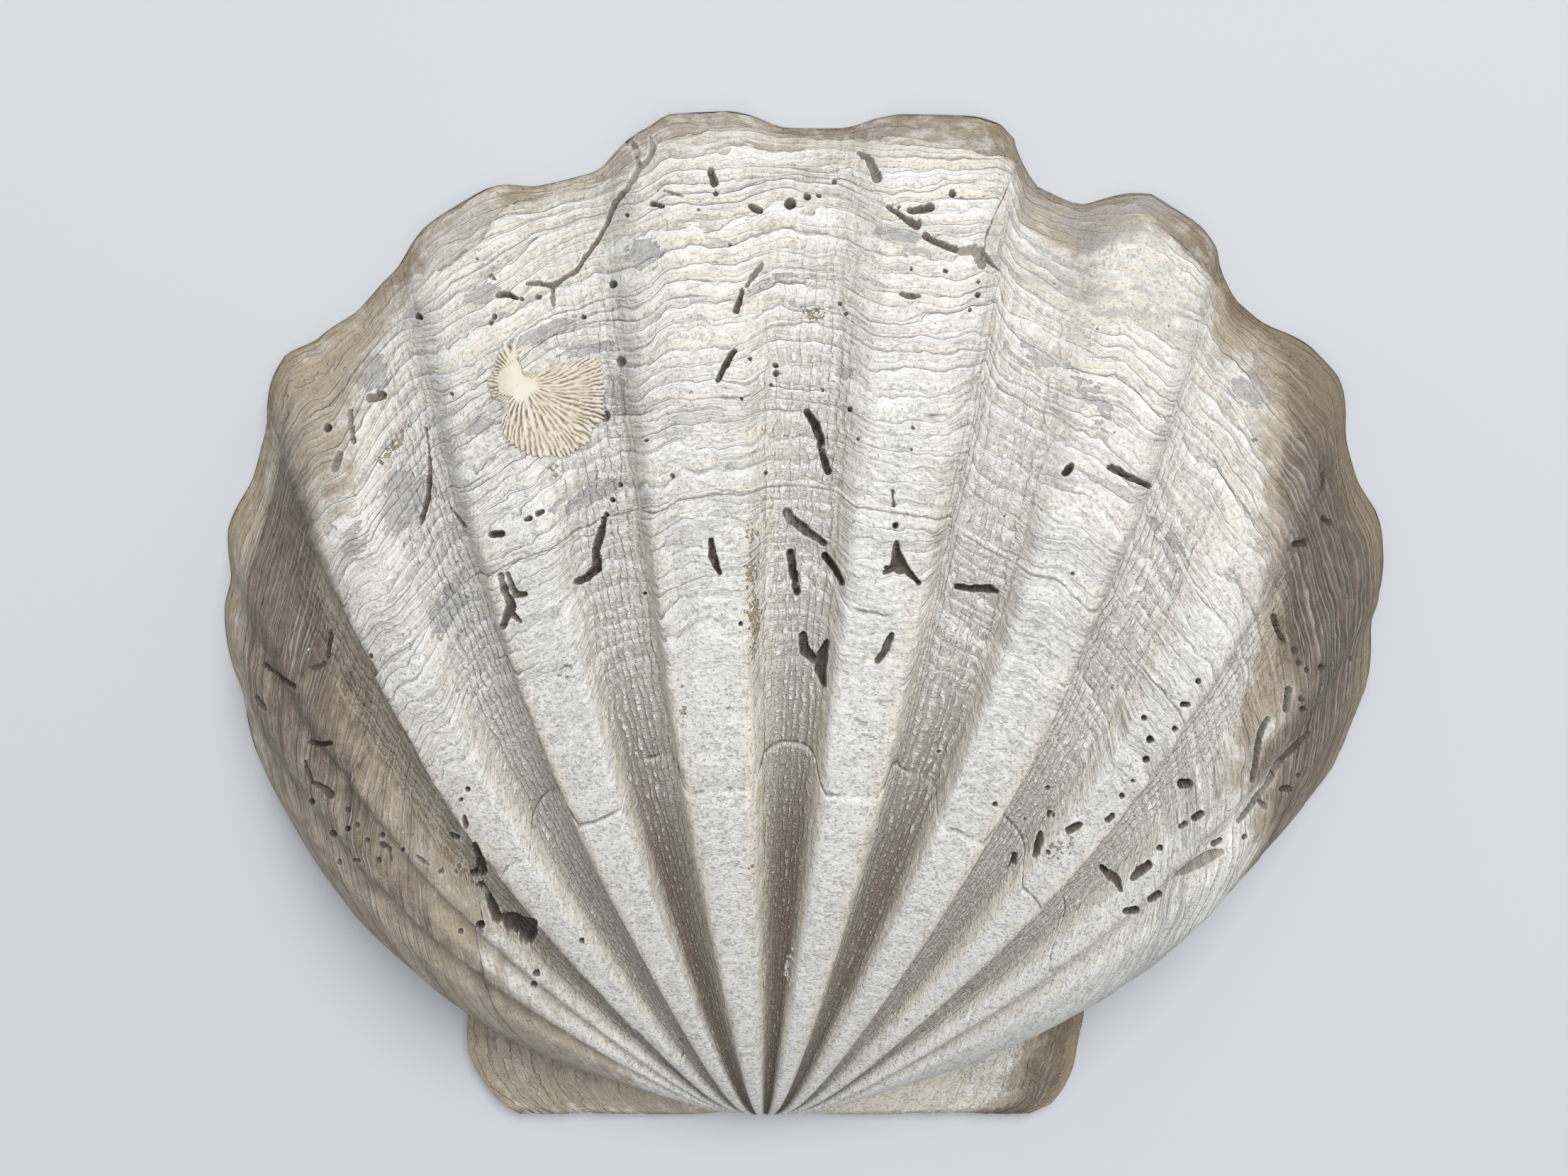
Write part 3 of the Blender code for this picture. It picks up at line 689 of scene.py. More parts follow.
def band_lines(low, high, rows):
    """Growth lines of one band's rows, with a close pair at each main break."""
    even = np.linspace(low, high, rows, endpoint=False)
    pairs = [at + lip for at, _, _, _ in BREAKS if low < at < high for lip in (0.0, BREAK_LIP)]
    clear = [line for line in even if all(abs(line - pair) > BREAK_LIP for pair in pairs)]
    return sorted(clear + pairs)


def stitched(first, second, first_at, second_at):
    """Triangles that join two rows of vertices, given with how far along each vertex lies."""
    faces = []
    i = j = 0
    while i < len(first) - 1 or j < len(second) - 1:
        at_end = j == len(second) - 1
        if at_end or (i < len(first) - 1 and first_at[i + 1] <= second_at[j + 1]):
            faces.append((first[i], first[i + 1], second[j]))
            i += 1
        else:
            faces.append((first[i], second[j + 1], second[j]))
            j += 1
    return faces


def flat_net():
    """The closed net laid flat: x is the bearing, y the growth line, z 0 outside and 1 on the hollow side."""
    bearings = column_bearings()
    vertices = []
    faces = []

    def add_row(columns, line, side):
        start = len(vertices)
        vertices.extend((bearing, line, side) for bearing in columns)
        return list(range(start, start + len(columns)))

    def add_sheet(bands, side):
        rows = []
        for columns, line in bands:
            row = add_row(columns, line, side)
            if rows and len(rows[-1][0]) == len(row):
                below = rows[-1][0]
                faces.extend(zip(below[:-1], below[1:], row[1:], row[:-1]))
            elif rows:
                faces.extend(stitched(rows[-1][0], row, rows[-1][1], columns))
            rows.append((row, columns, line))
        return rows

    outer = []
    for low, high, rows, skip in BANDS:
        outer += [(bearings[::skip], line) for line in band_lines(low, high, rows)]
    outer += [(bearings, 1.0)] + [(bearings, 1.0 + share) for share in RIM_ROWS]
    low_lines = np.linspace(HOLLOW_START, 0.5, INNER_ROWS[0], endpoint=False)
    high_lines = np.linspace(0.5, 1.0, INNER_ROWS[1])
    inner = [(bearings[::BANDS[0][3]], line) for line in low_lines]
    inner += [(bearings[::BANDS[1][3]], line) for line in high_lines]
    outside = add_sheet(outer, 0.0)
    hollow = add_sheet(inner, 1.0)
    for ends in (0, -1):
        far = [row[0][ends] for row in outside]
        near = [row[0][ends] for row in hollow]
        faces.extend(stitched(far, near, [row[2] for row in outside], [row[2] for row in hollow]))
    for ends in (0, -1):
        far, near = outside[ends], hollow[ends]
        faces.extend(stitched(far[0], near[0], far[1], near[1]))
    return np.array(vertices), faces


def cut_finer(net, near):
    """Cuts in four each face of the outside whose middle is this close, in pixels, to an edge in it."""
    faces = [face for face in net.faces if all(v.co.y < CUT_BELOW and v.co.z == 0.0 for v in face.verts)]
    middles = np.array([face.calc_center_median() for face in faces])
    place, normal, height = plain_outer(middles[:, 0], middles[:, 1])
    pixels = in_photo(in_frame(place + normal * height[:, None]))
    gap = np.abs(boring_field(pixels)[0])
    gap = np.where(pixels[:, 1] < CHIP_FOOT[1], np.minimum(gap, np.abs(past_chip(pixels))), gap)
    ledge = np.abs(past_ledge(middles[:, 0], middles[:, 1])) * BEAK_TO_MARGIN / PIXEL
    gap = np.minimum(gap, ledge * LEDGE_FINENESS)
    facing = (gap < near) & (np.abs(middles[:, 0]) < EAR_START)
    edges = {edge for face, chosen in zip(faces, facing) if chosen for edge in face.edges}
    bmesh.ops.subdivide_edges(net, edges=list(edges), cuts=1, use_grid_fill=True)


# Marks on the shell in the photograph's pixels: place, half length, half width, turn in degrees, strength
RUST_MARKS = [
    (556, 628, 42, 9, 128, 0.9), (1146, 442, 20, 12, 0, 0.8), (1200, 1262, 5, 22, 0, 0.6),
    (784, 665, 10, 14, 0, 0.7), (1065, 1224, 4, 9, 0, 0.9), (1061, 753, 8, 16, 0, 0.7),
    (1060, 808, 10, 30, 0, 0.85), (1064, 868, 12, 40, 0, 1.0), (1062, 916, 7, 20, 0, 0.6),
    (868, 449, 18, 5, 0, 0.5), (1496, 1196, 30, 16, 150, 0.45), (795, 940, 14, 22, 0, 0.3),
    (965, 1020, 6, 40, 0, 0.4), (1030, 1000, 6, 60, 0, 0.3), (1050, 750, 6, 18, 0, 0.4),
    (724, 1306, 24, 18, 30, 0.7),
]
GREY_MARKS = [
    (679, 414, 34, 17, 160, 0.7), (766, 470, 52, 12, 158, 0.9), (822, 496, 48, 10, 172, 0.8),
    (912, 358, 34, 22, 0, 0.6), (528, 528, 30, 26, 120, 0.9), (679, 600, 22, 20, 0, 0.7),
    (560, 688, 34, 20, 125, 0.8), (869, 560, 20, 34, 0, 0.6), (1452, 505, 40, 16, 20, 0.6),
    (1768, 552, 30, 34, 60, 0.8), (1794, 500, 24, 40, 160, 0.8), (1193, 524, 26, 10, 0, 0.5),
    (1104, 392, 50, 10, 0, 0.5), (632, 862, 22, 46, 30, 0.80), (1230, 1005, 34, 44, 0, 0.20),
    (820, 700, 60, 22, 150, 0.6), (1280, 330, 60, 8, 5, 0.4), (940, 690, 30, 8, 0, 0.4),
    (1540, 560, 20, 60, 150, 0.4), (1640, 760, 24, 50, 150, 0.5), (575, 712, 50, 30, 125, 0.9),
    (500, 760, 30, 20, 120, 0.6),
]
CREAM_MARKS = [
    (1479, 336, 44, 24, 20, 1.0), (1473, 421, 52, 18, 15, 1.0), (1628, 361, 26, 24, 60, 0.9),
    (1640, 410, 40, 12, 40, 0.7), (1745, 470, 26, 46, 150, 0.9), (1540, 470, 16, 50, 150, 0.7),
    (1150, 330, 70, 14, 0, 0.7), (640, 350, 60, 16, 145, 0.7), (690, 430, 50, 12, 150, 0.7),
    (1000, 262, 80, 10, 175, 0.6),
]
CRUST_MARKS = [
    (1119, 1340, 5, 5, 0, 1.0), (1115, 1349, 5, 6, 0, 1.0), (1111, 1360, 5, 8, 20, 1.0),
    (1110, 1374, 5, 8, 160, 1.0), (1115, 1386, 5, 7, 150, 1.0), (434, 920, 4, 4, 0, 1.0),
]
MARK_FADE = (0.35, 1.25)

# Brown stain towards the edges, with painted shade where the shell comes down to the floor and on the flanks:
# bearing, growth where it begins and where it is full, and its strength
STAIN_AND_SHADE = [
    (-90.0, 0.00, 0.40, 0.38), (-84.0, 0.00, 0.40, 0.45), (-78.0, 0.05, 0.45, 0.55),
    (-72.0, 0.15, 0.50, 0.68), (-66.0, 0.20, 0.45, 0.85), (-62.0, 0.10, 0.35, 0.62),
    (-56.0, 0.15, 0.45, 0.55), (-52.0, 0.15, 0.45, 0.62), (-48.0, 0.22, 0.56, 0.80),
    (-44.0, 0.48, 0.76, 1.00), (-40.0, 0.62, 0.79, 1.15), (-36.0, 0.72, 0.85, 1.08),
    (-33.0, 0.76, 0.88, 0.75), (-30.0, 0.80, 0.92, 0.52), (-28.0, 0.84, 0.96, 0.45),
    (-24.0, 0.90, 0.99, 0.45), (-20.0, 0.94, 1.01, 0.50), (-12.0, 0.96, 1.02, 0.45),
    (-5.0, 0.98, 1.03, 0.40), (12.0, 0.99, 1.04, 0.40), (16.0, 0.95, 1.01, 0.50),
    (24.0, 0.94, 1.00, 0.60), (28.0, 0.900, 0.985, 0.85), (31.0, 0.855, 0.980, 1.05),
    (34.5, 0.825, 0.962, 1.15), (36.5, 0.815, 0.950, 1.20), (38.5, 0.795, 0.935, 1.25),
    (40.2, 0.765, 0.895, 1.30), (41.8, 0.742, 0.865, 1.35), (43.4, 0.732, 0.845, 1.38),
    (47.0, 0.738, 0.830, 1.38), (50.0, 0.742, 0.845, 1.25), (54.0, 0.730, 0.850, 1.10),
    (57.0, 0.760, 0.870, 0.95), (60.0, 0.780, 0.920, 0.80), (64.0, 0.68, 0.82, 0.80),
    (68.0, 0.74, 0.89, 1.08), (90.0, 0.74, 0.89, 1.08),
]
# Painted shadow with stain on the ears, left then right, more on the left; how much paler the left rim is;
# and painted shade with stain on the ribs on the left
EAR_STAIN_AND_SHADE = (0.16, 0.09)
RIM_PALER = 0.60
RIM_PALER_OVER = (0.915, 0.96)
RIM_PALER_UNTIL = -34.0
SIDE_RIB_STAIN_AND_SHADE = 0.13
SIDE_RIBS = (26.0, 32.0)
SIDE_RIBS_FROM = (0.25, 0.45)

# Painted shade with brown stain on the left flank, ending sharply along the side of the last rib: growth,
# bearing, strength
FLANK_SIDE = [
    (0.20, -33.0, 0.0), (0.38, -33.2, 0.20), (0.50, -33.7, 0.37), (0.60, -33.9, 0.49), (0.68, -33.9, 0.63),
    (0.73, -33.0, 0.86), (0.77, -33.3, 0.90), (0.82, -33.6, 0.90), (0.86, -34.0, 0.90), (0.92, -36.0, 0.86),
]
FLANK_EDGE = (-0.3, 1.2)
FLANK_BY_SIDE = 0.70
FLANK_DEEPENS = (1.5, 6.0)
FLANK_FADE = 0.3
FLANK_FADES = (8.0, 18.0)

# The umbo's brown and the grey down the channels, each with painted shade in the channels, by bearing and
# growth. Each channel leans away from
# the middle of the shell: its far side gets more painted shade, and its near side has the wider worn
# shoulder, made lighter there as painted light
UMBO_MIDDLE = 1.0
UMBO_SIDES = (8.0, 30.0)
UMBO_LESS_AT_SIDES = 0.75
UMBO_FADES = (0.36, 0.56)
UMBO_BY_LEAN = (0.90, 0.25)
DULLNESS_AND_SHADE = [
    (-40.0, 0.60), (-31.0, 0.60), (-24.5, 0.62), (-18.0, 0.85), (-11.5, 1.1), (16.3, 1.1), (29.7, 0.62),
    (41.3, 0.55),
]
DULL_SHADE_FADE = 0.80
DULL_SHADE_FADES = (0.46, 0.78)
DULL_SHADE_BY_LEAN = (0.78, 0.52)
LEAN_MIDDLE = -2.5
LEAN_HALF_WIDTH = 9.0
SHOULDER_HALF_WIDTH = 1.0
SHOULDER_NARROWS = 0.60
SHOULDER_WEAKENS = 0.30
WARM_OVER = (0.62, 0.98)
FARTHEST_BEARING = 180.0

# What the hollow side holds in place of the outside's two distances, in millimetres, and of its warmth
HOLLOW_FROM_BORING = 4.0
HOLLOW_FROM_LEDGE = -4.0
HOLLOW_WARMTH = 0.5


def stain_and_shade_field(bearing, growth):
    """Brown stain with painted shade at the edges, on the left flank, on the ears and on the ribs on the
    left.
    """
    ragged = growth + uneven("stain_and_shade", bearing, growth)
    begin, full, strength = read(STAIN_AND_SHADE, bearing)
    soft = smoothstep(0.0, 1.0, (ragged - begin) / (full - begin)) * strength
    side, side_strength = read(FLANK_SIDE, growth)
    away = side - bearing
    on_disc = off_ears(bearing)
    flank = smoothstep(*FLANK_EDGE, away) * on_disc * side_strength
    flank = flank * (FLANK_BY_SIDE + (1.0 - FLANK_BY_SIDE) * smoothstep(*FLANK_DEEPENS, away))
    flank = flank * (1.0 - FLANK_FADE * smoothstep(*FLANK_FADES, away))
    on_ears = np.where(bearing < 0.0, *EAR_STAIN_AND_SHADE) * ear_share(bearing)
    side_ribs = SIDE_RIB_STAIN_AND_SHADE * smoothstep(*SIDE_RIBS, -bearing) * smoothstep(*SIDE_RIBS_FROM, growth)
    side_ribs = side_ribs * on_disc
    deepest = np.maximum(np.maximum(soft, flank), np.maximum(on_ears, side_ribs))
    paler = RIM_PALER * smoothstep(*RIM_PALER_OVER, growth) * (bearing < RIM_PALER_UNTIL) * on_disc
    return deepest * (1.0 - paler)


def mark_field(pixels, marks):
    """Strength of soft oval marks, each fading out from its middle."""
    strongest = np.zeros(len(pixels))
    for x, y, half_long, half_wide, turn, strength in marks:
        angle = math.radians(turn)
        away = pixels - np.array([x, y])
        along = away[:, 0] * math.cos(angle) + away[:, 1] * math.sin(angle)
        across = away[:, 1] * math.cos(angle) - away[:, 0] * math.sin(angle)
        far = np.hypot(along / half_long, across / half_wide)
        strongest = np.maximum(strongest, strength * (1.0 - smoothstep(*MARK_FADE, far)))
    return strongest


def channel_sides(bearing):
    """How far each place leans in its channel away from the shell's middle, which sets the painted shade, and
    the worn shoulders, wider and stronger on the near side as painted light.
    """
    shoulder = np.zeros_like(bearing)
    lean = np.zeros_like(bearing)
    nearest = np.full_like(bearing, FARTHEST_BEARING)
    for middle, half_width, depth in CHANNELS:
        away = np.abs(bearing - middle) - half_width
        side = np.clip((middle - LEAN_MIDDLE) / LEAN_HALF_WIDTH, -1.0, 1.0)
        leaning = side * np.clip((bearing - middle) / half_width, -1.0, 1.0)
        lean = np.where(away < nearest, leaning, lean)
        nearest = np.minimum(nearest, away)
        half = SHOULDER_HALF_WIDTH * (1.0 - SHOULDER_NARROWS * leaning)
        its_shoulder = depth * (1.0 - SHOULDER_WEAKENS * leaning) * np.exp(-(away / half) ** 2)
        shoulder = np.maximum(shoulder, its_shoulder)
    return lean, np.minimum(shoulder, 1.0)


def valve_fields(bearing, line, outside, places, gap, tone, chip):
    """What the finish reads at each vertex: shares, and distances from the borings and past the ledge."""
    pixels = in_photo(places)
    growth = np.minimum(line, 1.0)
    on_disc = off_ears(bearing)
    channel = np.clip(1.0 - rib_shape(bearing, growth), 0.0, 1.0) * on_disc
    lean, shoulder = channel_sides(bearing)
    # Painted shade in the channels, over their own brown near the umbo and grey further out, heavier on each
    # channel's far side
    sideways = smoothstep(*UMBO_SIDES, np.abs(bearing - UMBO_MIDDLE))
    umbo = channel * (1.0 - smoothstep(*UMBO_FADES, growth)) * (1.0 - UMBO_LESS_AT_SIDES * sideways)
    umbo = umbo * (UMBO_BY_LEAN[0] + UMBO_BY_LEAN[1] * lean)
    dull_and_shade = channel * (1.0 - DULL_SHADE_FADE * smoothstep(*DULL_SHADE_FADES, growth)) * read(DULLNESS_AND_SHADE, bearing)
    dull_and_shade = dull_and_shade * (DULL_SHADE_BY_LEAN[0] + DULL_SHADE_BY_LEAN[1] * lean)
    on_outside = {
        "boring": (gap * PIXEL, HOLLOW_FROM_BORING),
        "boring_tone": (tone, 0.0),
        "channel": (channel, 0.0),
        "channel_grey_and_shade": (dull_and_shade, 0.0),
        "shoulder": (shoulder * on_disc, 0.0),
        "umbo_brown_and_shade": (umbo, 0.0),
        "stain_and_shade": (stain_and_shade_field(bearing, growth), 0.0),
        "warm": (smoothstep(*WARM_OVER, growth + uneven("warmth", bearing, growth)), HOLLOW_WARMTH),
        "rust": (mark_field(pixels, RUST_MARKS), 0.0),
        "grey": (mark_field(pixels, GREY_MARKS), 0.0),
        "cream": (mark_field(pixels, CREAM_MARKS), 0.0),
        "crust": (mark_field(pixels, CRUST_MARKS), 0.0),
        "past_ledge": (past_ledge(bearing, growth) * BEAK_TO_MARGIN, HOLLOW_FROM_LEDGE),
        "chip": (chip, 0.0),
    }
    fields = {name: np.where(outside, there, elsewhere) for name, (there, elsewhere) in on_outside.items()}
    fields["layer"] = read(LAYER_STRENGTH, bearing)
    return fields


def put_fields(mesh, fields):
    for name, values in fields.items():
        layer = mesh.attributes.new(name, "FLOAT", "POINT")
        layer.data.foreach_set("value", np.asarray(values, dtype=np.float32))


def put_net_map(mesh, across, up):
    """A map with the bearing across and the growth line up, for what follows the ribs and lines."""
    corners = np.empty(len(mesh.loops), dtype=np.int32)
    mesh.loops.foreach_get("vertex_index", corners)
    layer = mesh.uv_layers.new(name="net")
    layer.data.foreach_set("uv", np.stack([across[corners], up[corners]], axis=-1).astype(np.float32).ravel())


def finish_mesh(mesh, finishes):
    """Welds what meets, cuts the mesh in triangles, turns its faces outward and gives it its finishes."""
    joined = bmesh.new()
    joined.from_mesh(mesh)
    bmesh.ops.remove_doubles(joined, verts=joined.verts, dist=WELD_NEAR)
    bmesh.ops.triangulate(joined, faces=joined.faces)
    bmesh.ops.recalc_face_normals(joined, faces=joined.faces)
    joined.to_mesh(mesh)
    joined.free()
    mesh.shade_smooth()
    for finish in finishes:
        mesh.materials.append(finish)


def in_scene(name, data):
    thing = bpy.data.objects.new(name, data)
    bpy.context.scene.collection.objects.link(thing)
    return thing


def valve_net():
    """The net cut finer where it needs to be."""
    vertices, faces = flat_net()
    flat = bpy.data.meshes.new("flat_net")
    flat.from_pydata([tuple(vertex) for vertex in vertices], [], faces)
    net = bmesh.new()
    net.from_mesh(flat)
    bpy.data.meshes.remove(flat)
    cut_finer(net, FINE_NEAR)
    cut_finer(net, FINEST_NEAR)
    return net


def make_valve(finishes):
    net = valve_net()
    bearing, line, side = np.array([vertex.co for vertex in net.verts]).T
    bearing = bearing.astype(float)
    line = line.astype(float)
    outside = side < 0.5
    hollow = ~outside
    on_rim = outside & (line > 1.0)
    on_face = outside & ~on_rim

    place, normal, height = plain_outer(bearing[on_face], line[on_face])
    pixels = in_photo(in_frame(place + normal * height[:, None]))
    on_disc = off_ears(bearing[on_face])
    gap, tone, depth = boring_field(pixels)
    sunk = depth * smoothstep(0.0, BORING_WALL, -gap * PIXEL) * on_disc
    chip = chip_field(pixels) * on_disc
    height = height - CHIP_DEPTH * chip - sunk
    thickness, corrugation = inner_depth(bearing[on_face], growth_at(bearing[on_face], line[on_face]))
    deepest = np.maximum(thickness - LEAST_WALL, LEAST_WALL_SHARE * thickness)
    height = np.maximum(height, corrugation - deepest)

    places = np.zeros((len(bearing), 3))
    places[on_face] = place + normal * height[:, None]
    places[on_rim] = rim_face(bearing[on_rim], line[on_rim] - 1.0)
    places[hollow] = inner_face(bearing[hollow], line[hollow])
    turned_up = np.where(outside, EDGE_LIFT * (1.0 - np.clip(line - 1.0, 0.0, 1.0)), 0.0)
    places = in_frame(places, turned_up)
    for face in net.faces:
        face.material_index = int(all(vertex.co.z > 0.5 for vertex in face.verts))
    for vertex, moved in zip(net.verts, places):
        vertex.co = moved

    mesh = bpy.data.meshes.new("shell_valve")
    net.to_mesh(mesh)
    net.free()
    up_map = np.where(line > 1.0, 1.0 + RIM_ON_MAP * (line - 1.0), line)
    put_net_map(mesh, bearing / (2.0 * HINGE_BEARING) + 0.5, up_map)
    all_gap = np.full(len(bearing), FAR_FROM_BORING)
    all_tone = np.zeros(len(bearing))
    all_chip = np.zeros(len(bearing))
    all_gap[on_face] = np.where(on_disc > 0.5, gap, FAR_FROM_BORING)
    all_tone[on_face] = tone
    all_chip[on_face] = chip
    put_fields(mesh, valve_fields(bearing, line, outside, places, all_gap, all_tone, all_chip))
    finish_mesh(mesh, finishes)
    return in_scene("shell_valve", mesh)


# The barnacle's base: bearing and growth of its middle, and its reach by direction, in millimetres,
# counted anticlockwise from the right as seen from outside
BASE_BEARING = -15.1
BASE_GROWTH = 0.828
BASE_REACH = [
    (0, 6.65), (10, 6.75), (21, 7.15), (25, 6.7), (30, 6.1), (38, 4.6), (47, 3.2), (53, 2.0), (61, 1.8),
    (75, 1.5), (90, 1.35), (101, 1.5), (105, 3.0), (109, 4.1), (115, 4.75), (128, 4.15), (151, 3.75),
    (167, 3.65), (180, 3.4), (193, 3.1), (206, 2.55), (226, 2.85), (236, 4.0), (249, 5.1), (265, 5.35),
    (272, 5.9), (278, 6.1), (292, 6.2), (302, 6.35), (309, 6.5), (318, 6.65), (334, 6.7), (340, 7.05),
    (350, 6.75), (360, 6.65),
]
BASE_TURN = -9.0
BASE_STRETCH = (0.95, 1.12)
BASE_SPOKES = 720
BASE_RINGS = 26
# How many degrees apart the ridges stand, and where they begin as a share of the reach, by direction
BASE_RIDGE_APART = [
    (0, 3.1), (25, 3.1), (60, 5.6), (180, 5.6), (250, 4.8), (300, 4.6), (335, 3.6), (360, 3.1),
]
BASE_RIDGES_FROM = [
    (0, 0.06), (30, 0.08), (60, 0.40), (105, 0.62), (200, 0.66), (235, 0.30), (270, 0.16), (300, 0.06),
    (360, 0.06),
]
# Ridges stand four together near the middle, then two, then one: the shares of the reach at which they part
BASE_MERGED = (1, 2, 4)
BASE_PARTS_AT = (0.62, 0.76)
BASE_HUB_UNTIL = (0.36, 0.24)
BASE_THICKNESS = 0.62
BASE_EDGE_THICKNESS = 0.34
BASE_THINS = 1.5
BASE_RIDGE = 0.24
BASE_RIDGE_POWER = 0.8
BASE_RIDGE_LEVEL = 0.75
BASE_SEAT = 0.03
BASE_RISE_OVER = 0.16
BASE_CHANNELS_CLOSE = 0.5
BASE_BRIDGED = (0.15, 0.75)
# Unevenness of the base: waves from its middle to its edge, seed, and size
BASE_SWAY = (14.0, 135, 0.22)
BASE_BRIDGES = (26.0, 133, 1.0)
BASE_CRUMBS = (9.0, 139, 0.05)
BASE_BEND = (3.0, 131, 0.55)
BASE_BEND_OUTWARD = 1.5
BASE_EDGE = (6.0, 137, 0.03)
BASE_EDGE_BY_RIDGE = 0.045
PROBE_HEIGHT = 10.0


def base_axes():
    """The base's middle on the valve, with the directions across, along the rib and out of the shell."""
    bearing = np.array([BASE_BEARING])
    growth = np.array([BASE_GROWTH])
    up = outward(bearing, growth)[0]
    along = (smooth_shell(bearing, growth + GROWTH_STEP) - smooth_shell(bearing, growth))[0]
    along = along - up * (along @ up)
    along = along / np.linalg.norm(along)
    middle = in_frame(smooth_shell(bearing, growth))[0]
    return middle, np.cross(along, up), along, up


def base_form(turns, shares):
    """Direction, reach, thickness and grooves of the base: a smooth middle with ridges fanning out."""
    turn, share = np.meshgrid(turns, shares)
    angle = np.radians(turn + BASE_TURN)

    def scattered(waves, seed, size, out=share):
        return size * rough(waves * out * np.cos(angle), waves * out * np.sin(angle), seed)

    counted = np.concatenate([[0.0], np.cumsum(360.0 / BASE_SPOKES / read(BASE_RIDGE_APART, turns))])
    together = BASE_MERGED[-1]
    counted = counted[:-1] * together * round(counted[-1] / together) / counted[-1]
    waves, seed, size = BASE_BEND
    bend = size * rough(waves * np.cos(angle) + BASE_BEND_OUTWARD * share, waves * np.sin(angle), seed)
    bent = counted + bend + scattered(*BASE_SWAY)
    ridges = [(0.5 + 0.5 * np.cos(2.0 * np.pi * bent / merged)) ** BASE_RIDGE_POWER for merged in BASE_MERGED]
    parted = smoothstep(*BASE_PARTS_AT, share)
    near_hub = smoothstep(*BASE_HUB_UNTIL, share)
    fan = ridges[0] * parted + (1.0 - parted) * (ridges[1] * (1.0 - near_hub) + ridges[2] * near_hub)
    fan = fan + (1.0 - fan) * BASE_CHANNELS_CLOSE * smoothstep(*BASE_BRIDGED, scattered(*BASE_BRIDGES))
    standing = smoothstep(0.0, BASE_RISE_OVER, share - read(BASE_RIDGES_FROM, turn))
    ends = 1.0 + BASE_EDGE_BY_RIDGE * (fan - 0.5) + scattered(*BASE_EDGE, out=1.0)
    reach = share * read(BASE_REACH, turn) * (1.0 - (1.0 - ends) * share ** 3)
    thickness = BASE_THICKNESS + (BASE_EDGE_THICKNESS - BASE_THICKNESS) * share ** BASE_THINS
    thickness = thickness + standing * BASE_RIDGE * (fan - BASE_RIDGE_LEVEL) + scattered(*BASE_CRUMBS)
    return angle, reach, thickness, (1.0 - fan) * standing


def make_barnacle_base(valve, finish):
    """A thin plate laid on the valve ring by ring, with its foot just above the shell."""
    shell = valve.data
    seat = BVHTree.FromPolygons([v.co for v in shell.vertices], [face.vertices for face in shell.polygons])
    middle, across, along, up = base_axes()
    turns = np.arange(BASE_SPOKES) * 360.0 / BASE_SPOKES
    shares = np.linspace(0.0, 1.0, BASE_RINGS + 1)
    angle, reach, thickness, groove = base_form(turns, shares)
    sideways = across * BASE_STRETCH[0] * np.cos(angle)[..., None]
    spread = sideways + along * BASE_STRETCH[1] * np.sin(angle)[..., None]
    flat = middle + spread * (reach * MILLIMETRE)[..., None]
    lifted = Vector(up * PROBE_HEIGHT * MILLIMETRE)
    down = -lifted.normalized()
    seats = np.array([[seat.ray_cast(Vector(spot) + lifted, down)[0] for spot in ring] for ring in flat])
    top = seats + up * (thickness * MILLIMETRE)[..., None]
    foot = seats[::-1] + up * BASE_SEAT * MILLIMETRE
    rings = [*top, *foot]
    faces = []
    for ring in range(len(rings) - 1):
        low, high = ring * BASE_SPOKES, (ring + 1) * BASE_SPOKES
        for spoke in range(BASE_SPOKES):
            after = (spoke + 1) % BASE_SPOKES
            faces.append((low + spoke, high + spoke, high + after, low + after))
    mesh = bpy.data.meshes.new("barnacle_base")
    mesh.from_pydata([tuple(place) for place in np.concatenate(rings)], [], faces)
    put_fields(mesh, {"groove": np.concatenate([groove, groove[::-1]]).ravel()})
    up_map = np.repeat(np.append(shares, shares[::-1]), BASE_SPOKES)
    put_net_map(mesh, np.tile(turns / 360.0, len(rings)), up_map)
    finish_mesh(mesh, [finish])
    return in_scene("barnacle_base", mesh)


# Finishes: colours as linear light, most the surface's own, some of them painted shade or painted highlight
# laid on it
BONE = (0.840, 0.832, 0.795, 1.0)
WHITE = (0.905, 0.900, 0.865, 1.0)
DULL_WHITE = (0.510, 0.498, 0.462, 1.0)
CREAM = (0.800, 0.700, 0.500, 1.0)
FIBRE_CREAM = (0.870, 0.830, 0.710, 1.0)
FIBRE_TAN = (0.640, 0.550, 0.400, 1.0)
COOL_GREY = (0.420, 0.415, 0.408, 1.0)
STEP_SHADOW_GREY = (0.330, 0.315, 0.290, 1.0)
CHANNEL_GREY_AND_SHADE = (0.300, 0.259, 0.206, 1.0)
UMBO_BROWN_AND_SHADE = (0.141, 0.094, 0.054, 1.0)
STAIN_AND_SHADE_BROWN = (0.195, 0.155, 0.110, 1.0)
STAIN_AND_SHADE_DARK = (0.115, 0.091, 0.064, 1.0)
STAIN_AND_SHADE_PALE = (0.420, 0.353, 0.263, 1.0)
EDGE_TAN = (0.400, 0.310, 0.200, 1.0)
LAYER_BROWN = (0.235, 0.185, 0.130, 1.0)
PORE_GREY = (0.330, 0.305, 0.270, 1.0)
RUST = (0.520, 0.400, 0.240, 1.0)
CRUMB_RIM_SHADE = (0.130, 0.090, 0.052, 1.0)
BORING_PALE = (0.440, 0.405, 0.350, 1.0)
BORING_DARK = (0.066, 0.046, 0.033, 1.0)
CREVICE_SHADE_BROWN = (0.130, 0.108, 0.085, 1.0)
HOLLOW_WHITE = (0.730, 0.690, 0.610, 1.0)
HOLLOW_TAN = (0.520, 0.430, 0.310, 1.0)
BASE_CREAM = (0.750, 0.675, 0.545, 1.0)
BASE_GROOVE = (0.150, 0.108, 0.070, 1.0)
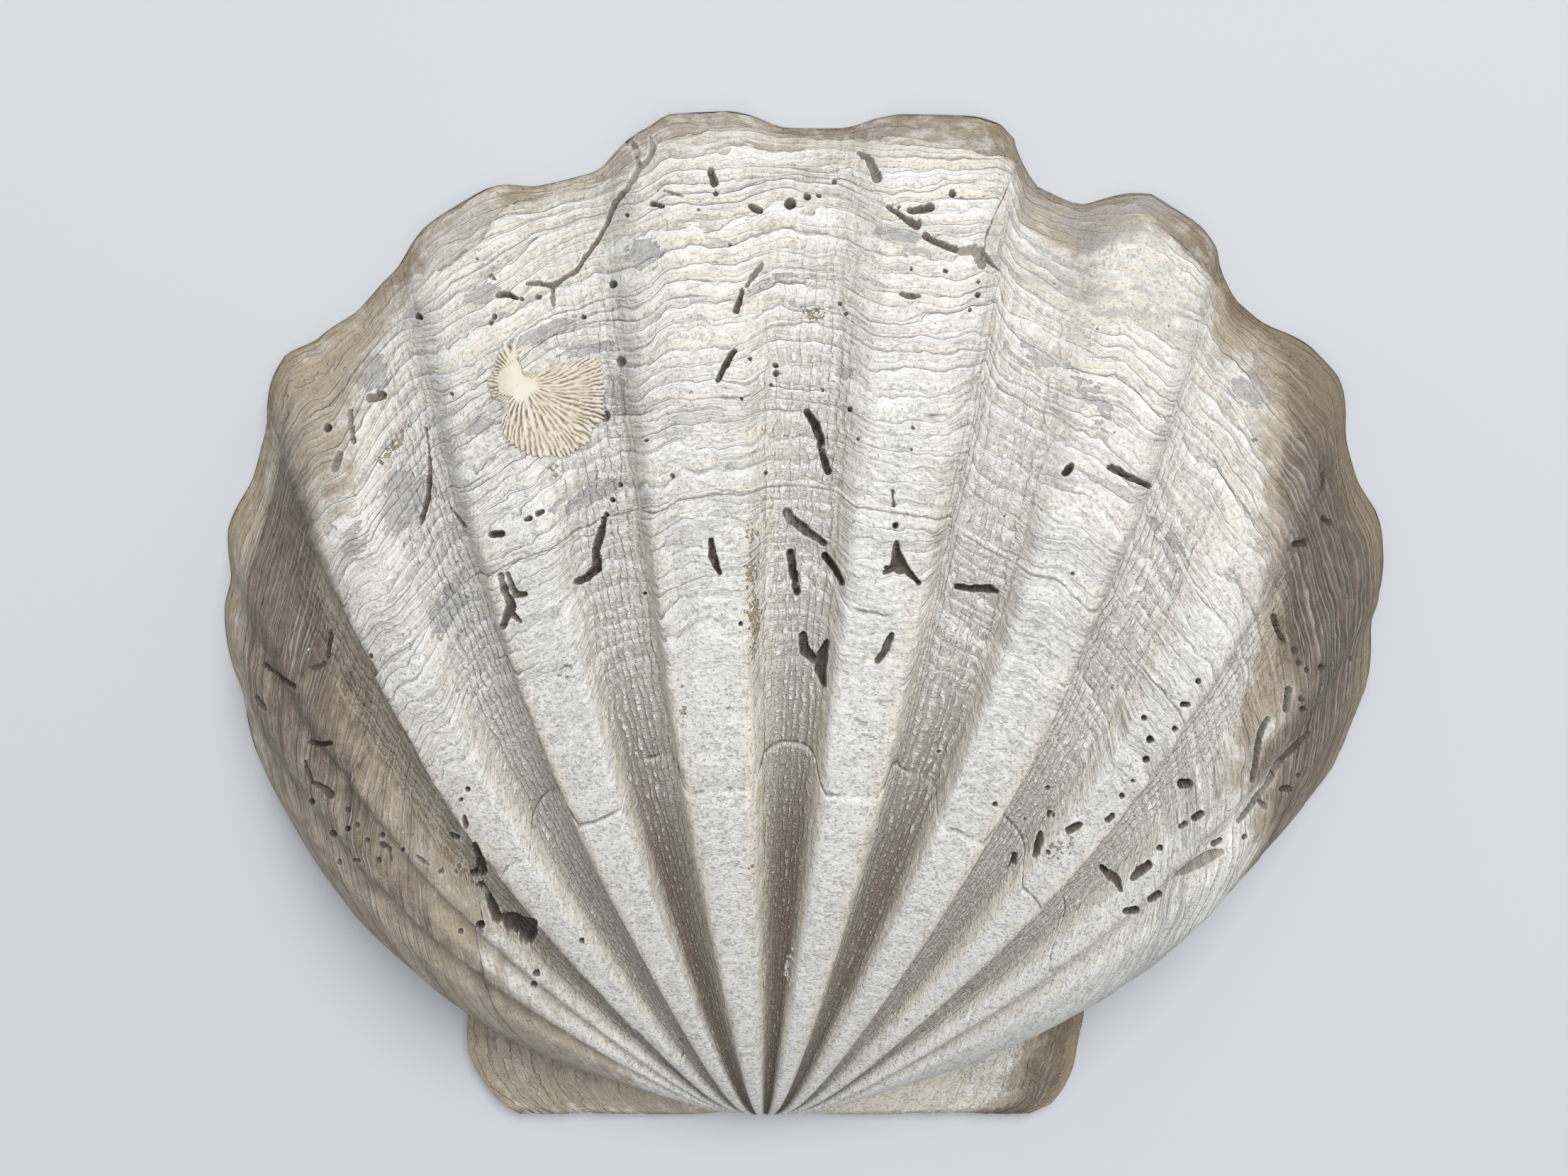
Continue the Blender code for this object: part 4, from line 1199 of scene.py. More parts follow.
FLOOR_PALE = (0.640, 0.655, 0.680, 1.0)
SPECULAR = 0.3
ROUGH = 0.8
SMOOTH = 0.55
FLOOR_ROUGHNESS = 0.9

# The shell unrolled: millimetres across for each degree at the margin; threads' spacing in degrees, and
# spacing of beads, lamellae and steps in millimetres. A lamella shows where its noise passes this middle
# less its reach, with soft ends
ACROSS_DEGREE = 1.75
EAR_SHORTER = 0.70
THREAD_SPACING = 0.62
THREAD_BEAD = 0.60
LAMELLA_SPACING = 0.62
LAMELLA_REACH = 0.56
LAMELLA_MIDDLE = 0.98
LAMELLA_SOFT = (0.10, 0.12)
STEP_SPACING = 1.45
STEP_REACH = 0.58
STEP_WAVE = 0.6
WAVE_SIZES = (5.0, 1.7)

# The main breaks' crevices: how near one counts, its width, how much of its length shows, by its drop, and
# how softly it ends
BREAK_NEAR = 0.012
BREAK_WIDTH = 0.0020
BREAK_REACH = 0.30
BREAK_REACH_BY_DROP = 0.5
BREAK_ENDS_SOFT = (0.12, 0.06)

# Noise drawn out over the unrolled shell: millimetres wide and high, twist, and detail
STREAKS = {
    "worms": (0.90, 0.46, 1.2, 3.0),
    "patches": (9.0, 2.4, 0.6, 5.0),
    "clouds": (14.0, 9.0, 0.5, 4.0),
    "flakes": (4.2, 1.1, 0.8, 5.0),
    "long_lines": (24.0, 1.5, 0.5, 3.0),
    "fibres": (0.30, 2.6, 0.9, 3.0),
    "hollow_bands": (26.0, 2.4, 0.4, 3.0),
}
# Sizes of grains, in millimetres
GRAINS = {
    "grain": 0.30, "sand": 0.42, "granules": 0.80, "blotch": 1.7, "hollow_grain": 0.5, "hollow_mottle": 9.0,
    "base_mottle": 2.2,
}

# Growth over which each of these comes in or fades, and its strengths at the ends where they aren't 0 and 1
OUTER_ZONE = (0.50, 0.72)
ON_WALLS_FROM = (0.52, 0.62)
WOVEN_FROM = (0.40, 0.55)
WOVEN_FADES = (0.74, 0.92, 0.35)
THREADS_FADE = (0.72, 0.92, 0.3)
CORDED_OVER = (0.66, 0.80, 0.75, 0.25)
FIBROUS_FROM = (0.08, 0.22)
FIBROUS_FADES = (0.68, 0.86, 0.12)
EDGE_FROM = (0.945, 0.985)

# Noise along lines: how quick by the degree of bearing and from line to line, detail and roughness
LINE_NOISE = {
    "lamella": (0.16, 7.31, 2.0, 0.6),
    "layer": (0.05, 3.77, 0.0, 0.5),
    "slow_wave": (0.07, 26.0, 1.0, 0.5),
    "quick_wave": (0.55, 70.0, 2.0, 0.6),
    "break_width": (2.6, 50.0, 2.0, 0.5),
    "break_there": (0.3, 70.0, 3.0, 0.5),
}

# Range of its value over which each mask changes, and from what to what where that isn't from 0 to 1. Values
# of the growth breaks are in growth, and those of the broken ledge and the borings in millimetres
RANGES = {
    "lip_rises": (0.35, 0.90), "lip_ends": (0.93, 1.0, 1.0, 0.0), "crevice": (0.0, 0.22, 1.0, 0.0),
    "knotted": (0.25, 0.55, 0.25, 1.0), "thread": (-0.8, 0.95), "bead_width": (-1.0, 0.6),
    "bead": (0.40, 0.60), "break_width": (0.3, 0.7, 0.35, 1.3), "break_lip_rises": (-0.0060, -0.0012),
    "break_lip_ends": (-0.0008, 0.0, 1.0, 0.0), "in_channel": (0.3, 0.9), "chip": (0.0, 0.30),
    "white": (0.36, 0.64), "bone": (0.3, 0.7, 0.25, 0.65), "creamy": (0.38, 0.56, 0.30, 1.0),
    "creamy_layers": (0.50, 0.60), "cream_mark": (0.36, 0.52), "bare": (0.560, 0.580),
    "between_threads": (0.40, 0.05), "bead_tops": (0.15, 0.7), "fibres": (0.36, 0.62),
    "pores": (0.38, 0.48, 1.0, 0.0), "lamellae": (0.38, 0.56, 0.35, 1.0), "scars": (0.34, 0.44),
    "near_scars": (0.02, 0.10), "scar_grey": (0.3, 0.7, 0.5, 0.95), "mottled": (0.0, 0.3),
    "stain_and_shade_pale": (0.02, 0.50), "stain_and_shade_brown": (0.48, 1.05), "stain_and_shade_dark": (0.95, 1.55),
    "on_stain_and_shade": (0.2, 0.6), "stain_and_shade_lips": (0.35, 0.6, 0.4, 1.0), "edge": (0.30, 0.60, 0.3, 1.0),
    "under_layer": (0.0, 0.10), "layer": (0.35, 0.60, 0.60, 0.95), "ledge_line_begins": (-0.10, 0.0),
    "ledge_line_ends": (0.05, 0.20, 1.0, 0.0), "ledge_line": (0.40, 0.55), "near_rust": (0.05, 0.25),
    "crumbs": (0.54, 0.64), "crumb_rims": (0.38, 0.46), "rust": (0.40, 0.60, 0.95, 0.70),
    "chip_grey": (0.40, 0.60), "crust_grain": (0.30, 0.60, 0.4, 1.2), "crust": (0.35, 0.60),
    "specks": (0.705, 0.735), "near_specks": (0.35, 0.6), "boring_lip_begins": (0.02, 0.06),
    "boring_lip_ends": (0.10, 0.26, 1.0, 0.0), "boring_depth": (-0.22, 0.0, 1.0, 0.55),
    "boring_grain": (0.3, 0.7, 0.85, 1.05), "boring_stain_and_shade": (0.2, 1.0, 0.0, 0.85),
    "boring": (-0.05, 0.03, 1.0, 0.0), "hollow_tan": (0.42, 0.66), "hollow_tan_from": (0.55, 0.95, 0.4, 1.0),
    "hollow_bands": (0.5, 0.62), "base_mottle": (0.4, 0.65), "groove": (0.22, 0.85),
    "groove_grain": (0.3, 0.6, 0.45, 0.88),
}

# How much of each colour is laid on, where its mask is full
LAID = {
    "cream": 0.52, "bare": 0.55, "dull_and_shade": 0.92, "umbo": 0.90, "weave": 0.42, "cords": 0.35, "beads": 0.55,
    "fibres": 0.75, "pores": 0.50, "crevices": 0.50, "steps": 0.72, "lips": 0.70, "step_lips": 0.75,
    "stain_and_shade": 0.94, "stain_and_shade_lips": 0.30, "edge": 0.50, "ledge_line": 0.7, "crumb_rims": 0.75, "chip": 0.62,
    "break_lips": 0.55, "breaks": 0.70, "specks": 0.7, "boring_lips": 0.4, "hollow_tan": 0.75,
    "hollow_bands": 0.25, "base_mottle": 0.35,
}

# Height of each effect on the valve's outside, in millimetres
RISES = {
    "grain": 0.060, "pores": -0.040, "threads": 0.085, "beads": 0.170, "fibres": 0.060, "lips": 0.120,
    "step_lips": 0.240, "flakes": 0.060, "bare": -0.070, "scars": -0.100, "long_lines": 0.110, "crust": 0.150,
    "break_lips": 0.06, "breaks": -0.16, "specks": -0.10, "crumbs": 0.26,
}
WORMS_RISE = (0.100, 0.02)


def node(tree, kind, inputs=None, **settings):
    """A node with its settings and its inputs: each input is a value or another node's output."""
    made = tree.nodes.new(kind)
    for name, value in settings.items():
        setattr(made, name, value)
    for socket, value in (inputs or {}).items():
        if isinstance(value, bpy.types.NodeSocket):
            tree.links.new(value, made.inputs[socket])
        else:
            made.inputs[socket].default_value = value
    return made


class Sums:
    """Short names for the number nodes of one node tree."""

    def __init__(self, tree):
        self.tree = tree

    def math(self, operation, first, second=0.0, clamp=False):
        inputs = {0: first, 1: second}
        return node(self.tree, "ShaderNodeMath", inputs, operation=operation, use_clamp=clamp).outputs[0]

    def add(self, *values):
        total = values[0]
        for value in values[1:]:
            total = self.math("ADD", total, value)
        return total

    def times(self, *values):
        total = values[0]
        for value in values[1:]:
            total = self.math("MULTIPLY", total, value)
        return total

    def less(self, first, second):
        return self.math("SUBTRACT", first, second)

    def rest(self, value):
        return self.less(1.0, value)

    def over(self, first, second):
        return self.math("DIVIDE", first, second)

    def larger(self, first, second):
        return self.math("MAXIMUM", first, second)

    def around(self, noise, size):
        """Noise brought about 0, and this much larger."""
        return self.times(self.less(noise, 0.5), size)

    def ramp(self, value, low, high, to_low=0.0, to_high=1.0):
        """The value brought smoothly from one range to another, and held at its ends."""
        inputs = {"Value": value, "From Min": low, "From Max": high, "To Min": to_low, "To Max": to_high}
        made = node(self.tree, "ShaderNodeMapRange", inputs, interpolation_type="SMOOTHSTEP")
        return made.outputs["Result"]

    def fall(self, value, low, high, to_high=0.0):
        return self.ramp(value, low, high, 1.0, to_high)

    def mask(self, kind, value):
        """The share that the range of this name gives for a value."""
        return self.ramp(value, *RANGES[kind])

    def noise(self, x, y, detail=2.0, roughness=0.5, distortion=0.0):
        place = node(self.tree, "ShaderNodeCombineXYZ", {0: x, 1: y}).outputs[0]
        inputs = {"Vector": place, "Scale": 1.0, "Detail": detail, "Roughness": roughness,
                  "Distortion": distortion}
        return node(self.tree, "ShaderNodeTexNoise", inputs).outputs["Fac"]

    def line_noise(self, kind, bearing, line):
        """Noise along one of several lines, or over all of them."""
        per_degree, per_line, detail, roughness = LINE_NOISE[kind]
        return self.noise(self.times(bearing, per_degree), self.times(line, per_line), detail, roughness)

    def mix(self, share, first, second):
        inputs = {0: share, 6: first, 7: second}
        return node(self.tree, "ShaderNodeMix", inputs, data_type="RGBA").outputs[2]

    def field(self, name):
        return node(self.tree, "ShaderNodeAttribute", attribute_name=name).outputs["Fac"]

    def group(self, group, **inputs):
        return node(self.tree, "ShaderNodeGroup", inputs, node_tree=group).outputs


class Coats:
    """Colours laid one over another, each as far as the product of its shares."""

    def __init__(self, do, first):
        self.do = do
        self.colour = first

    def lay(self, colour, *shares):
        self.colour = self.do.mix(self.do.times(*shares), self.colour, colour)


def new_group(name, inputs, outputs):
    """A node group with named number inputs, each with its usual value, and number outputs."""
    tree = bpy.data.node_groups.new(name, "ShaderNodeTree")
    for socket, usual in inputs.items():
        made = tree.interface.new_socket(name=socket, in_out="INPUT", socket_type="NodeSocketFloat")
        made.default_value = usual
    for socket in outputs:
        tree.interface.new_socket(name=socket, in_out="OUTPUT", socket_type="NodeSocketFloat")
    given = tree.nodes.new("NodeGroupInput").outputs
    put = tree.nodes.new("NodeGroupOutput").inputs
    return tree, Sums(tree), given, put


def unrolled_group():
    """The net's bearing and line as millimetres across and along the shell laid flat."""
    tree, do, given, put = new_group("unrolled", {"Bearing": 0.0, "Line": 0.0}, ["Across", "Along"])
    tree.links.new(do.times(given["Bearing"], given["Line"], ACROSS_DEGREE), put["Across"])
    tree.links.new(do.times(given["Line"], BEAK_TO_MARGIN), put["Along"])
    return tree


def streaks_group():
    """Noise drawn out along or across the growth lines, by its sizes in millimetres."""
    inputs = {"Across": 0.0, "Along": 0.0, "Wide": 1.0, "High": 1.0, "Twist": 0.0, "Detail": 3.0}
    tree, do, given, put = new_group("streaks", inputs, ["Streaks"])
    x = do.over(given["Across"], given["Wide"])
    y = do.over(given["Along"], given["High"])
    tree.links.new(do.noise(x, y, given["Detail"], 0.6, given["Twist"]), put["Streaks"])
    return tree


def lamellae_group():
    """Growth lamellae: each ends in a thin raised lip, which the finish paints as a highlight, with a crevice
    past it painted as shadow, and comes and goes.
    """
    inputs = {"Bearing": 0.0, "Line": 0.0, "Wave": 0.0, "Spacing": LAMELLA_SPACING, "Reach": 0.5}
    tree, do, given, put = new_group("lamellae", inputs, ["Lip", "Crevice", "Layer"])
    count = do.add(do.over(do.times(given["Line"], BEAK_TO_MARGIN), given["Spacing"]), given["Wave"])
    number = do.math("FLOOR", count)
    share = do.less(count, number)
    own = do.line_noise("lamella", given["Bearing"], number)
    low = do.less(LAMELLA_MIDDLE, given["Reach"])
    strength = do.ramp(own, do.less(low, LAMELLA_SOFT[0]), do.add(low, LAMELLA_SOFT[1]))
    tree.links.new(do.times(do.mask("lip_rises", share), do.mask("lip_ends", share), strength), put["Lip"])
    tree.links.new(do.times(do.mask("crevice", share), strength), put["Crevice"])
    tree.links.new(do.line_noise("layer", given["Bearing"], number), put["Layer"])
    return tree


def wave_group():
    """How far the lamellae stray from even spacing: slowly over many of them, and quickly along each."""
    tree, do, given, put = new_group("wave", {"Bearing": 0.0, "Line": 0.0}, ["Wave"])
    slow = do.line_noise("slow_wave", given["Bearing"], given["Line"])
    quick = do.line_noise("quick_wave", given["Bearing"], given["Line"])
    tree.links.new(do.add(do.times(slow, WAVE_SIZES[0]), do.times(quick, WAVE_SIZES[1])), put["Wave"])
    return tree


def chalk_grain_group():
    """Fine grains of worn chalky shell, this many millimetres across."""
    tree, do, given, put = new_group("chalk_grain", {"Size": 0.3}, ["Grain"])
    place = node(tree, "ShaderNodeTexCoord").outputs["Object"]
    scale = do.over(1.0 / MILLIMETRE, given["Size"])
    inputs = {"Vector": place, "Scale": scale, "Detail": 2.5, "Roughness": 0.6}
    tree.links.new(node(tree, "ShaderNodeTexNoise", inputs).outputs["Fac"], put["Grain"])
    return tree


def beaded_threads_group():
    """Cords that run with the ribs, this many degrees apart, knotted where the growth lines cross them."""
    inputs = {"Bearing": 0.0, "Line": 0.0, "Spacing": THREAD_SPACING, "Bead": THREAD_BEAD}
    tree, do, given, put = new_group("beaded_threads", inputs, ["Threads", "Beads"])
    turns = do.over(given["Bearing"], given["Spacing"])
    up = do.over(do.times(given["Line"], BEAK_TO_MARGIN), given["Bead"])
    sway = do.noise(do.times(turns, 0.45), do.times(up, 0.16), 3.0, 0.65)
    swayed = do.add(turns, do.times(sway, 2.2))
    number = do.math("FLOOR", swayed)
    wave = do.math("COSINE", do.around(swayed, 2.0 * math.pi))
    knots = do.noise(do.add(do.times(number, 9.7), do.times(swayed, 0.8)), up, 3.0, 0.75)
    strength = do.mask("knotted", knots)
    tree.links.new(do.times(do.mask("thread", wave), strength), put["Threads"])
    tree.links.new(do.times(do.mask("bead_width", wave), do.mask("bead", knots)), put["Beads"])
    return tree


def break_lines_group():
    """A crevice for painted shade and the white lip before it, a painted highlight, along each main break,
    coming and going.
    """
    tree, do, given, put = new_group("break_lines", {"Bearing": 0.0, "Line": 0.0}, ["Crevice", "Lip"])
    past = 1.0
    reach = 0.0
    number = 0.0
    for at, _, _, drop in BREAKS:
        its_past = do.less(given["Line"], at + BREAK_LIP)
        near = do.math("LESS_THAN", do.math("ABSOLUTE", its_past), BREAK_NEAR)
        past = do.add(do.times(its_past, near), do.times(past, do.rest(near)))
        reach = do.add(do.times(near, BREAK_REACH + drop * BREAK_REACH_BY_DROP), reach)
        number = do.add(do.times(near, at), number)
    nibbled = do.line_noise("break_width", given["Bearing"], number)
    width = do.times(BREAK_WIDTH, do.mask("break_width", nibbled))
    line = do.math("SUBTRACT", 1.0, do.over(do.math("ABSOLUTE", past), width), clamp=True)
    there = do.line_noise("break_there", given["Bearing"], number)
    low = do.rest(reach)
    shown = do.ramp(there, do.less(low, BREAK_ENDS_SOFT[0]), do.add(low, BREAK_ENDS_SOFT[1]))
    before = do.times(do.mask("break_lip_rises", past), do.mask("break_lip_ends", past))
    tree.links.new(do.times(line, shown), put["Crevice"])
    tree.links.new(do.times(before, shown), put["Lip"])
    return tree


class Groups:
    """The effects that more than one finish uses."""

    def __init__(self):
        self.unrolled = unrolled_group()
        self.streaks = streaks_group()
        self.wave = wave_group()
        self.lamellae = lamellae_group()
        self.grain = chalk_grain_group()
        self.threads = beaded_threads_group()
        self.break_lines = break_lines_group()


def new_finish(name, roughness):
    material = bpy.data.materials.new(name)
    material.use_nodes = True
    shader = material.node_tree.nodes["Principled BSDF"]
    shader.inputs["Roughness"].default_value = roughness
    shader.inputs["Specular IOR Level"].default_value = SPECULAR
    return material, material.node_tree, shader


def net_place(tree, do):
    """Bearing in degrees and growth line, read from the net's map."""
    spot = node(tree, "ShaderNodeSeparateXYZ", {0: node(tree, "ShaderNodeUVMap", uv_map="net").outputs[0]})
    return do.around(spot.outputs[0], 2.0 * HINGE_BEARING), spot.outputs[1]


def streaks(do, groups, flat, kind):
    wide, high, twist, detail = STREAKS[kind]
    return do.group(groups.streaks, Across=flat["Across"], Along=flat["Along"], Wide=wide, High=high,
                    Twist=twist, Detail=detail)["Streaks"]


def grains(do, groups, kind):
    return do.group(groups.grain, Size=GRAINS[kind])["Grain"]


def bumped(tree, shader, height):
    """Feeds the shader a bump from a height in millimetres."""
    bump = node(tree, "ShaderNodeBump", {"Height": height, "Distance": MILLIMETRE, "Strength": 1.0})
    tree.links.new(bump.outputs["Normal"], shader.inputs["Normal"])


def valve_outside_finish(groups):
    material, tree, shader = new_finish("worn_chalky_shell", ROUGH)
    do = Sums(tree)
    bearing, line = net_place(tree, do)
    on_ear = do.ramp(do.math("ABSOLUTE", bearing), EAR_START - EAR_WALL, EAR_START + EAR_WALL)
    drawn = do.times(line, do.rest(do.times(on_ear, EAR_SHORTER)))
    flat = do.group(groups.unrolled, Bearing=bearing, Line=drawn)
    kinds = ("worms", "patches", "clouds", "flakes", "long_lines", "fibres")
    worms, patches, clouds, flakes, long_lines, fibres = [streaks(do, groups, flat, kind) for kind in kinds]
    kinds = ("grain", "granules", "blotch", "sand")
    grain, granules, blotch, sand = [grains(do, groups, kind) for kind in kinds]
    wave = do.group(groups.wave, Bearing=bearing, Line=drawn)["Wave"]
    lamellae = do.group(groups.lamellae, Bearing=bearing, Line=drawn, Wave=wave, Spacing=LAMELLA_SPACING,
                        Reach=LAMELLA_REACH)
    steps = do.group(groups.lamellae, Bearing=bearing, Line=drawn, Wave=do.times(wave, STEP_WAVE),
                     Spacing=STEP_SPACING, Reach=STEP_REACH)
    threads = do.group(groups.threads, Bearing=bearing, Line=line)
    breaks = do.group(groups.break_lines, Bearing=bearing, Line=line)

    # Where on the shell: channels, their worn shoulders, the layered outer zone, and what the chip left whole
    in_channel = do.mask("in_channel", do.field("channel"))
    shoulder = do.field("shoulder")
    stain_and_shade = do.field("stain_and_shade")
    chip = do.mask("chip", do.field("chip"))
    whole = do.rest(do.times(chip, 0.85))
    outer_zone = do.ramp(line, *OUTER_ZONE)
    layered = do.times(outer_zone, whole)
    on_wall = do.times(do.larger(shoulder, in_channel), do.ramp(line, *ON_WALLS_FROM))
    off_stain_and_shade = do.rest(stain_and_shade)

    # Chalky white, bone and cream, with bare grey patches where thin sheets have come off
    coats = Coats(do, do.mix(do.mask("white", worms), DULL_WHITE, WHITE))
    coats.lay(BONE, do.mask("bone", clouds))
    warm = do.field("warm")
    creamy = do.times(warm, do.mask("creamy", patches))
    creamy = do.larger(creamy, do.times(warm, do.mask("creamy_layers", lamellae["Layer"])))
    cream_mark = do.mask("cream_mark", do.add(do.times(flakes, 0.5), do.times(blotch, 0.5)))
    cream_mark = do.times(do.field("cream"), cream_mark)
    creamy = do.larger(do.larger(creamy, cream_mark), do.times(on_ear, 0.95))
    coats.lay(CREAM, creamy, LAID["cream"])
    sheets = do.add(do.times(patches, 0.65), do.times(flakes, 0.35), do.times(steps["Crevice"], 0.06))
    bare = do.times(layered, do.mask("bare", sheets))
    coats.lay(COOL_GREY, bare, LAID["bare"])

    # Dull grey channels with painted shade, a weave of beaded threads, the brown umbo with painted shade,
    # fibrous shoulders, and pores all over
    dull_and_shade = do.times(do.field("channel_grey_and_shade"), do.rest(do.times(threads["Threads"], 0.42)))
    coats.lay(CHANNEL_GREY_AND_SHADE, do.times(dull_and_shade, do.rest(do.times(threads["Beads"], 0.65))), LAID["dull_and_shade"])
    brown = do.times(do.field("umbo_brown_and_shade"), do.rest(do.times(threads["Beads"], 0.35)))
    coats.lay(UMBO_BROWN_AND_SHADE, brown, LAID["umbo"])
    # The weave: painted shade between the threads and a painted highlight on the bead tops, with the cords'
    # own cream
    woven = do.times(in_channel, do.ramp(line, *WOVEN_FROM), do.fall(line, *WOVEN_FADES), whole)
    coats.lay(CHANNEL_GREY_AND_SHADE, woven, do.mask("between_threads", threads["Threads"]), LAID["weave"])
    coats.lay(FIBRE_CREAM, woven, threads["Threads"], LAID["cords"])
    coats.lay(BONE, woven, do.mask("bead_tops", threads["Beads"]), LAID["beads"])
    fibrous = do.times(shoulder, do.ramp(line, *FIBROUS_FROM), do.fall(line, *FIBROUS_FADES))
    coats.lay(do.mix(do.mask("fibres", fibres), FIBRE_TAN, FIBRE_CREAM), fibrous, LAID["fibres"])
    pores = do.mask("pores", do.add(do.times(grain, 0.65), do.times(granules, 0.35)))
    coats.lay(PORE_GREY, pores, LAID["pores"])

    # Growth lamellae and the coarser steps, weaker in the corded channels, with painted shadow in the crevice
    # past each and a painted highlight on each lip, and grey scars
    corded = do.rest(do.times(in_channel, do.ramp(line, *CORDED_OVER)))
    shown = do.times(whole, do.larger(outer_zone, on_wall), do.mask("lamellae", clouds))
    shown = do.times(do.larger(shown, do.times(on_wall, whole)), corded)
    stepped = do.times(steps["Crevice"], do.larger(do.times(layered, 0.62), on_wall), corded)
    lipped = do.larger(layered, on_wall)
    coats.lay(COOL_GREY, lamellae["Crevice"], shown, LAID["crevices"])
    coats.lay(STEP_SHADOW_GREY, stepped, LAID["steps"])
    coats.lay(WHITE, lamellae["Lip"], shown, LAID["lips"])
    coats.lay(WHITE, steps["Lip"], lipped, LAID["step_lips"])
    grey = do.field("grey")
    scars = do.add(grey, do.around(flakes, 2.4), do.around(granules, 1.1))
    scars = do.times(do.mask("scars", scars), do.mask("near_scars", grey))
    coats.lay(COOL_GREY, scars, do.mask("scar_grey", granules))

    # Brown stain with painted shade, the tan edge, and the brown layer past the broken edge of the outer one,
    # with painted shade in the crevice along it
    mottle = do.add(do.around(long_lines, 0.6), do.around(blotch, 0.9), do.around(clouds, 0.5))
    deeper = do.add(stain_and_shade, do.times(mottle, do.mask("mottled", stain_and_shade)))
    coats.lay(STAIN_AND_SHADE_PALE, do.mask("stain_and_shade_pale", deeper), LAID["stain_and_shade"])
    coats.lay(STAIN_AND_SHADE_BROWN, do.mask("stain_and_shade_brown", deeper), LAID["stain_and_shade"])
    coats.lay(STAIN_AND_SHADE_DARK, do.mask("stain_and_shade_dark", deeper))
    # Painted highlight on the lamellae's lips over the stain and painted shade
    on_stain_and_shade = do.times(do.mask("on_stain_and_shade", stain_and_shade), do.mask("stain_and_shade_lips", clouds))
    coats.lay(BONE, lamellae["Lip"], on_stain_and_shade, LAID["stain_and_shade_lips"])
    coats.lay(EDGE_TAN, do.ramp(line, *EDGE_FROM), do.mask("edge", blotch), LAID["edge"])
    past = do.add(do.field("past_ledge"), do.around(grain, 0.25))
    under = do.times(do.mask("under_layer", past), do.field("layer"))
    coats.lay(LAYER_BROWN, under, do.mask("layer", blotch))
    # Painted shade in the crevice along the broken edge of the outer layer
    ledge_line = do.times(do.mask("ledge_line_begins", past), do.mask("ledge_line_ends", past))
    coats.lay(CREVICE_SHADE_BROWN, ledge_line, do.mask("ledge_line", clouds), LAID["ledge_line"])

    # Rusty crumbs with painted shade round them, the grey chip, white crust, the main breaks with painted
    # shade in their crevices and a painted highlight on their lips, and dark specks
    rust = do.field("rust")
    sandy = do.add(do.times(rust, 0.66), do.around(sand, 3.0), do.around(granules, 0.8))
    near_rust = do.mask("near_rust", rust)
    crumbs = do.times(do.mask("crumbs", sandy), near_rust)
    # Painted shade in the gaps round the crumbs
    coats.lay(CRUMB_RIM_SHADE, do.times(do.mask("crumb_rims", sandy), near_rust), LAID["crumb_rims"])
    coats.lay(RUST, crumbs, do.mask("rust", grain))
    chip_grey = do.times(chip, do.mask("chip_grey", do.add(do.times(clouds, 0.3), do.times(blotch, 0.7))))
    coats.lay(COOL_GREY, do.times(chip_grey, do.rest(cream_mark)), LAID["chip"])
    crusty = do.mask("crust", do.times(do.field("crust"), do.mask("crust_grain", grain)))
    coats.lay(WHITE, crusty)
    crevices = do.times(breaks["Crevice"], whole)
    coats.lay(WHITE, breaks["Lip"], LAID["break_lips"], off_stain_and_shade)
    coats.lay(CREVICE_SHADE_BROWN, crevices, LAID["breaks"])
    specks = do.times(do.mask("specks", granules), do.mask("near_specks", clouds))
    coats.lay(CREVICE_SHADE_BROWN, specks, LAID["specks"])

    # Borings: a pale lip round each, and a floor that is darker the deeper it lies, painted shade over its
    # own brown
    gap = do.add(do.field("boring"), do.around(grain, 0.06), do.around(granules, 0.10))
    boring_lip = do.times(do.mask("boring_lip_begins", gap), do.mask("boring_lip_ends", gap))
    coats.lay(BONE, boring_lip, LAID["boring_lips"], off_stain_and_shade)
    depth = do.times(do.field("boring_tone"), do.mask("boring_depth", gap))
    depth = do.times(depth, do.mask("boring_grain", granules))
    depth = do.larger(do.math("POWER", depth, 0.8), do.mask("boring_stain_and_shade", stain_and_shade))
    coats.lay(do.mix(depth, BORING_PALE, BORING_DARK), do.mask("boring", gap))
    tree.links.new(coats.colour, shader.inputs["Base Color"])

    threaded = do.times(in_channel, do.fall(line, *THREADS_FADE))
    rises = do.add(
        do.times(grain, RISES["grain"]),
        do.times(pores, RISES["pores"]),
        do.times(worms, do.ramp(in_channel, 0.0, 1.0, *WORMS_RISE)),
        do.times(threads["Threads"], threaded, RISES["threads"]),
        do.times(threads["Beads"], threaded, RISES["beads"]),
        do.times(fibres, fibrous, RISES["fibres"]),
        do.times(lamellae["Lip"], do.larger(shown, on_stain_and_shade), RISES["lips"]),
        do.times(steps["Lip"], lipped, corded, RISES["step_lips"]),
        do.times(flakes, layered, RISES["flakes"]),
        do.times(bare, RISES["bare"]),
        do.times(scars, RISES["scars"]),
        do.times(long_lines, stain_and_shade, RISES["long_lines"]),
        do.times(crusty, RISES["crust"]),
        do.times(breaks["Lip"], RISES["break_lips"]),
        do.times(crevices, RISES["breaks"]),
        do.times(specks, RISES["specks"]),
        do.times(crumbs, RISES["crumbs"]),
    )
    bumped(tree, shader, rises)
    return material


